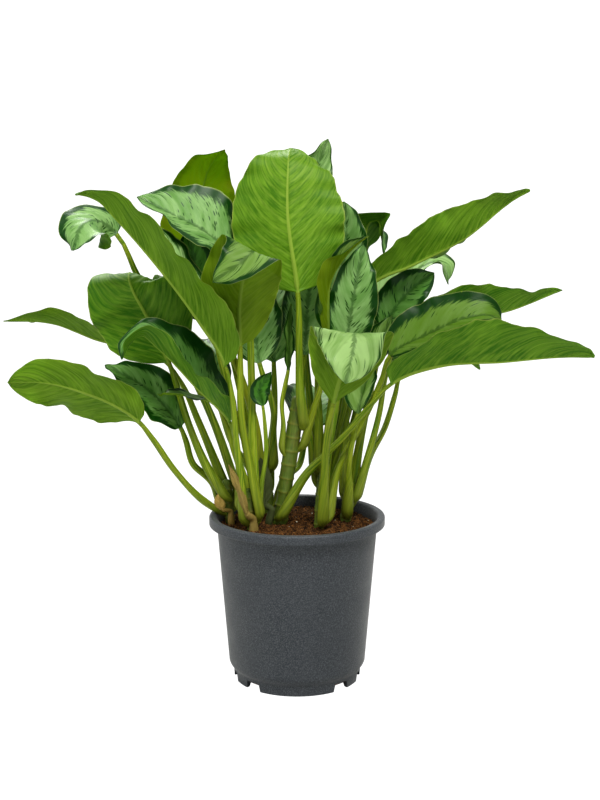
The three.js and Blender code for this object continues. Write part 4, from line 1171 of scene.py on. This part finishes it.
def make_soil(soil, pot):
    """The peat: a rough mound over a plain fill, and the loose bits scattered on it."""
    low_corner, high_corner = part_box("soil")
    bottom, crown = low_corner.z, high_corner.z
    edge_height = crown - SOIL_CROWN
    slope = (pot.body_top - pot.body_foot) / (pot.height - pot.lip - pot.step)
    edge = pot.body_foot - pot.wall + slope * (edge_height - pot.step) - SOIL_GAP
    chance = np.random.default_rng(soil.seed)
    angles = np.linspace(0, 2 * math.pi, SOIL_SIDES, endpoint=False)
    radii = edge * np.linspace(1, 1 / SOIL_RINGS, SOIL_RINGS)
    x = radii[:, None] * np.cos(angles)[None, :]
    y = radii[:, None] * np.sin(angles)[None, :]
    z = soil_height(x, y, edge_height, crown, edge, soil.roughness)
    z = z + chance.normal(0, 0.18 * soil.roughness, z.shape)
    surface = np.stack([x, y, z], -1)
    fill = [
        (pot.foot - 4 * MM, bottom),
        (pot.foot - 2 * MM, pot.step / 2),
        (pot.body_foot - pot.wall - SOIL_GAP, pot.step),
        (edge - 1 * MM, edge_height - 12 * MM),
    ]
    ends = [[0, 0, bottom], [0, 0, crown]]
    points = np.vstack([*level_rings(fill, angles), surface.reshape(-1, 3), *ends])
    faces = closed_tube(len(fill) + SOIL_RINGS, SOIL_SIDES)
    mass = make_piece("peat", points, faces, [peat(soil)], sharp=NO_CREASE)
    stands_for(mass, "soil")
    first = len(fill) * SOIL_SIDES
    # bits fall on the mound, but not on its two rings beside the wall
    top = [f for f in faces if min(f) >= first + 2 * SOIL_SIDES and max(f) < len(points) - 2]
    carrier = make_piece("peat_top", points, top, [])
    bits = [
        ("peat_crumbs", soil.crumbs, soil.crumb, (1.0, 0.8, 0.7), peat(soil, "loose_peat", 0.12), 1),
        ("peat_fibres", soil.fibres, 2.2 * MM, (2.6, 0.22, 0.22), peat(soil, "peat_fibre", 0.45), 2),
        ("perlite_grains", soil.perlite, 1.7 * MM, (1.0, 0.9, 0.8), perlite(), 3),
    ]
    for name, density, size, stretch, material, turn in bits:
        scatter(carrier, name, density, size, stretch, material, soil.seed + turn)
    bpy.data.objects.remove(carrier)


def scatter_tree():
    """Geometry nodes that scatter small rough grains over a surface."""
    tree = bpy.data.node_groups.new("scatter_grains", "GeometryNodeTree")
    sockets = {"Surface": "Geometry", "Density": "Float", "Size": "Float", "Stretch": "Vector",
               "Seed": "Int", "Material": "Material"}
    for name, kind in sockets.items():
        tree.interface.new_socket(name, in_out="INPUT", socket_type=f"NodeSocket{kind}")
    tree.interface.new_socket("Grains", in_out="OUTPUT", socket_type="NodeSocketGeometry")
    given = add(tree, "NodeGroupInput", output=None).outputs
    spots = add(
        tree, "GeometryNodeDistributePointsOnFaces",
        {"Mesh": given["Surface"], "Density": given["Density"], "Seed": given["Seed"]}, "Points",
    )
    ball = add(tree, "GeometryNodeMeshIcoSphere", {"Radius": given["Size"], "Subdivisions": 1}, "Mesh")
    spin = add(
        tree, "FunctionNodeRandomValue",
        {0: (0.0, 0.0, 0.0), 1: FULL_TURN, "Seed": given["Seed"]}, 0, data_type="FLOAT_VECTOR",
    )
    size = add(
        tree, "FunctionNodeRandomValue",
        {0: SMALLEST_GRAIN, 1: (1.0, 1.0, 1.0), "Seed": given["Seed"]}, 0, data_type="FLOAT_VECTOR",
    )
    drawn = add(tree, "ShaderNodeVectorMath", {0: size, 1: given["Stretch"]}, operation="MULTIPLY")
    placed = add(
        tree, "GeometryNodeInstanceOnPoints",
        {"Points": spots, "Instance": ball, "Rotation": spin, "Scale": drawn}, "Instances",
    )
    solid = add(tree, "GeometryNodeRealizeInstances", {"Geometry": placed}, "Geometry")
    dented = add(tree, "ShaderNodeTexNoise", {"Scale": GRAIN_DENTS, "Detail": 1.0}, "Color")
    centred = add(tree, "ShaderNodeVectorMath", {0: dented, 1: (0.5, 0.5, 0.5)}, operation="SUBTRACT")
    push = add(tree, "ShaderNodeVectorMath", {0: centred, "Scale": DENT_DEPTH}, operation="SCALE")
    rough = add(tree, "GeometryNodeSetPosition", {"Geometry": solid, "Offset": push}, "Geometry")
    finished = add(
        tree, "GeometryNodeSetMaterial", {"Geometry": rough, "Material": given["Material"]}, "Geometry"
    )
    add(tree, "NodeGroupOutput", {"Grains": finished}, None)
    return tree


def scatter(carrier, name, density, size, stretch, material, seed):
    """Scatters grains over the carrier's surface and makes them one plain piece."""
    tree = bpy.data.node_groups.get("scatter_grains") or scatter_tree()
    spread = carrier.modifiers.new(name, "NODES")
    spread.node_group = tree
    given = {"Density": density, "Size": size, "Stretch": stretch, "Seed": seed, "Material": material}
    for socket in tree.interface.items_tree:
        if socket.in_out == "INPUT" and socket.name in given:
            spread[socket.identifier] = given[socket.name]
    graph = bpy.context.evaluated_depsgraph_get()
    mesh = bpy.data.meshes.new_from_object(carrier.evaluated_get(graph))
    carrier.modifiers.clear()
    mesh.name = name
    piece = bpy.data.objects.new(name, mesh)
    bpy.context.scene.collection.objects.link(piece)
    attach(piece, BODY)


# ---------------------------------------------------------------- operators

CAMERA_ASIDE = 4 * MM
FILM_SIDE = 36  # millimetres, the side that the lens is given for
FLOOR_HALF = 12.0
ROOM_LIGHT = 0.16  # how strongly the white room lights the plant
ROOM_SEEN = 1.0  # how bright it is to look at


class AGLAONEMA_OT_pot(bpy.types.Operator):
    """Makes the nursery pot"""

    bl_idname = "aglaonema.pot"
    bl_label = "Pot"

    def execute(self, context):
        make_pot(context.scene.aglaonema_pot)
        return {"FINISHED"}


class AGLAONEMA_OT_soil(bpy.types.Operator):
    """Fills the pot with peat"""

    bl_idname = "aglaonema.soil"
    bl_label = "Soil"

    def execute(self, context):
        make_soil(context.scene.aglaonema_soil, context.scene.aglaonema_pot)
        return {"FINISHED"}


class AGLAONEMA_OT_canes(bpy.types.Operator):
    """Grows the canes"""

    bl_idname = "aglaonema.canes"
    bl_label = "Canes"

    def execute(self, context):
        bark = cane_bark()
        names = sorted(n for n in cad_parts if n.startswith("cane_"))
        for number, name in enumerate(names):
            grow_cane(name, bark, CANE_SEEDS + number)
        return {"FINISHED"}


class AGLAONEMA_OT_leaves(bpy.types.Operator):
    """Grows the leaves"""

    bl_idname = "aglaonema.leaves"
    bl_label = "Leaves"

    def execute(self, context):
        settings = context.scene.aglaonema_leaf
        materials = [leaf_upper(settings), leaf_under(settings), petiole_skin(settings)]
        names = sorted(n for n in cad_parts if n.startswith("leaf_"))
        for number, name in enumerate(names):
            grow_leaf(name, materials, settings, number)
        return {"FINISHED"}


class AGLAONEMA_OT_sheaths(bpy.types.Operator):
    """Makes the withered leaf bases"""

    bl_idname = "aglaonema.sheaths"
    bl_label = "Sheaths"

    def execute(self, context):
        settings = context.scene.aglaonema_leaf
        dry = dry_sheath()
        names = sorted(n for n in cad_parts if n.startswith("sheath_"))
        for number, name in enumerate(names):
            grow_leaf(name, [dry, dry, dry], settings, SHEATH_SEEDS + number)
        return {"FINISHED"}


class AGLAONEMA_OT_stage(bpy.types.Operator):
    """Sets the camera, the pale floor and the soft lights"""

    bl_idname = "aglaonema.stage"
    bl_label = "Stage"

    def execute(self, context):
        stage = context.scene.aglaonema_stage
        place_camera(stage)
        lay_floor(stage)
        light_studio(context.scene)
        return {"FINISHED"}


def place_camera(stage):
    """A camera at the plant's front, looking slightly down on it."""
    data = bpy.data.cameras.new("camera")
    data.lens = stage.lens
    data.sensor_width = FILM_SIDE
    camera = bpy.data.objects.new("camera", data)
    camera.location = (CAMERA_ASIDE, -stage.distance, stage.height)
    camera.rotation_euler = (math.pi / 2 - stage.pitch, 0, 0)
    bpy.context.scene.collection.objects.link(camera)
    bpy.context.scene.camera = camera


def lay_floor(stage):
    """A pale floor that lights the pot from below, and that the camera sees as plain white."""
    material, tree = new_material("pale_floor")
    lit = add(tree, "ShaderNodeBsdfPrincipled", {"Base Color": stage.floor, "Roughness": 0.9})
    plain = add(tree, "ShaderNodeEmission", {"Color": (1, 1, 1, 1), "Strength": 1.0})
    seen = add(tree, "ShaderNodeLightPath", output="Is Camera Ray")
    show(tree, add(tree, "ShaderNodeMixShader", {0: seen, 1: lit, 2: plain}))
    corners = [(x * FLOOR_HALF, y * FLOOR_HALF, 0) for x, y in ((-1, -1), (1, -1), (1, 1), (-1, 1))]
    floor = make_piece("floor", corners, [(0, 1, 2, 3)], [material])


def add_light(name, place, target, size, power, tint):
    """A square soft light at a place, turned to a target."""
    data = bpy.data.lights.new(name, "AREA")
    data.size = size
    data.energy = power
    data.color = tint[:3]
    light = bpy.data.objects.new(name, data)
    light.location = place
    light.rotation_euler = (Vector(target) - Vector(place)).to_track_quat("-Z", "Y").to_euler()
    bpy.context.scene.collection.objects.link(light)


def light_studio(scene):
    """Soft studio light: a key above the front, a fill from the left, a low fill in front, a light
    behind for the leaves' glow, and a white room that is brighter to look at than it lights."""
    middle = (0, 0, 0.45)
    add_light("key", (0.5, -1.5, 2.7), middle, 1.0, 64, (1.0, 0.985, 0.96))
    add_light("fill", (-2.1, -1.0, 1.6), middle, 1.2, 16, (0.97, 0.985, 1.0))
    add_light("low_fill", (0.5, -2.5, 0.35), middle, 1.6, 13, (1.0, 1.0, 0.98))
    add_light("back_light", (-0.7, 1.5, 2.2), (0, 0, 0.55), 1.0, 38, (1.0, 1.0, 0.98))
    world = bpy.data.worlds.new("white_room")
    scene.world = world
    world.use_nodes = True
    tree = world.node_tree
    tree.nodes.clear()
    path = add(tree, "ShaderNodeLightPath", output=None)
    seen = add(
        tree, "ShaderNodeMath", {0: path.outputs["Is Camera Ray"], 1: path.outputs["Is Glossy Ray"]},
        operation="MAXIMUM",
    )
    room = add(tree, "ShaderNodeBackground", {"Color": (1, 1, 1, 1), "Strength": ROOM_LIGHT})
    backdrop = add(tree, "ShaderNodeBackground", {"Color": (1, 1, 1, 1), "Strength": ROOM_SEEN})
    mixed = add(tree, "ShaderNodeMixShader", {0: seen, 1: room, 2: backdrop})
    add(tree, "ShaderNodeOutputWorld", {"Surface": mixed}, None)
    scene.view_settings.view_transform = "Standard"
    scene.view_settings.look = "Medium High Contrast"


class AGLAONEMA_PT_panel(bpy.types.Panel):
    """Lists the sizes, colours and pieces of the plant"""

    bl_idname = "AGLAONEMA_PT_panel"
    bl_label = "Potted Aglaonema"
    bl_space_type = "VIEW_3D"
    bl_region_type = "UI"
    bl_category = "Aglaonema"

    def draw(self, context):
        for title, settings, operators in PANEL_ROWS:
            box = self.layout.box()
            box.label(text=title)
            group = getattr(context.scene, settings)
            for name in group.__annotations__:
                box.prop(group, name)
            for operator in operators:
                box.operator(operator)


PANEL_ROWS = (
    ("Pot", "aglaonema_pot", ("aglaonema.pot",)),
    ("Soil", "aglaonema_soil", ("aglaonema.soil",)),
    ("Leaves", "aglaonema_leaf", ("aglaonema.canes", "aglaonema.leaves", "aglaonema.sheaths")),
    ("Stage", "aglaonema_stage", ("aglaonema.stage",)),
)
SETTINGS = {
    "aglaonema_pot": PotSettings,
    "aglaonema_soil": SoilSettings,
    "aglaonema_leaf": LeafSettings,
    "aglaonema_stage": StageSettings,
}
CLASSES = (
    *SETTINGS.values(),
    AGLAONEMA_OT_pot,
    AGLAONEMA_OT_soil,
    AGLAONEMA_OT_canes,
    AGLAONEMA_OT_leaves,
    AGLAONEMA_OT_sheaths,
    AGLAONEMA_OT_stage,
    AGLAONEMA_PT_panel,
)


def register():
    """Adds the classes, and the settings to the scene."""
    for made in CLASSES:
        bpy.utils.register_class(made)
    for name, group in SETTINGS.items():
        setattr(bpy.types.Scene, name, bpy.props.PointerProperty(type=group))


def unregister():
    """Takes them away again."""
    for name in SETTINGS:
        delattr(bpy.types.Scene, name)
    for made in reversed(CLASSES):
        bpy.utils.unregister_class(made)


def main():
    """Makes everything in order."""
    register()
    bpy.ops.aglaonema.stage()
    bpy.ops.aglaonema.pot()
    bpy.ops.aglaonema.soil()
    bpy.ops.aglaonema.canes()
    bpy.ops.aglaonema.leaves()
    bpy.ops.aglaonema.sheaths()


if __name__ == "__main__":
    main()
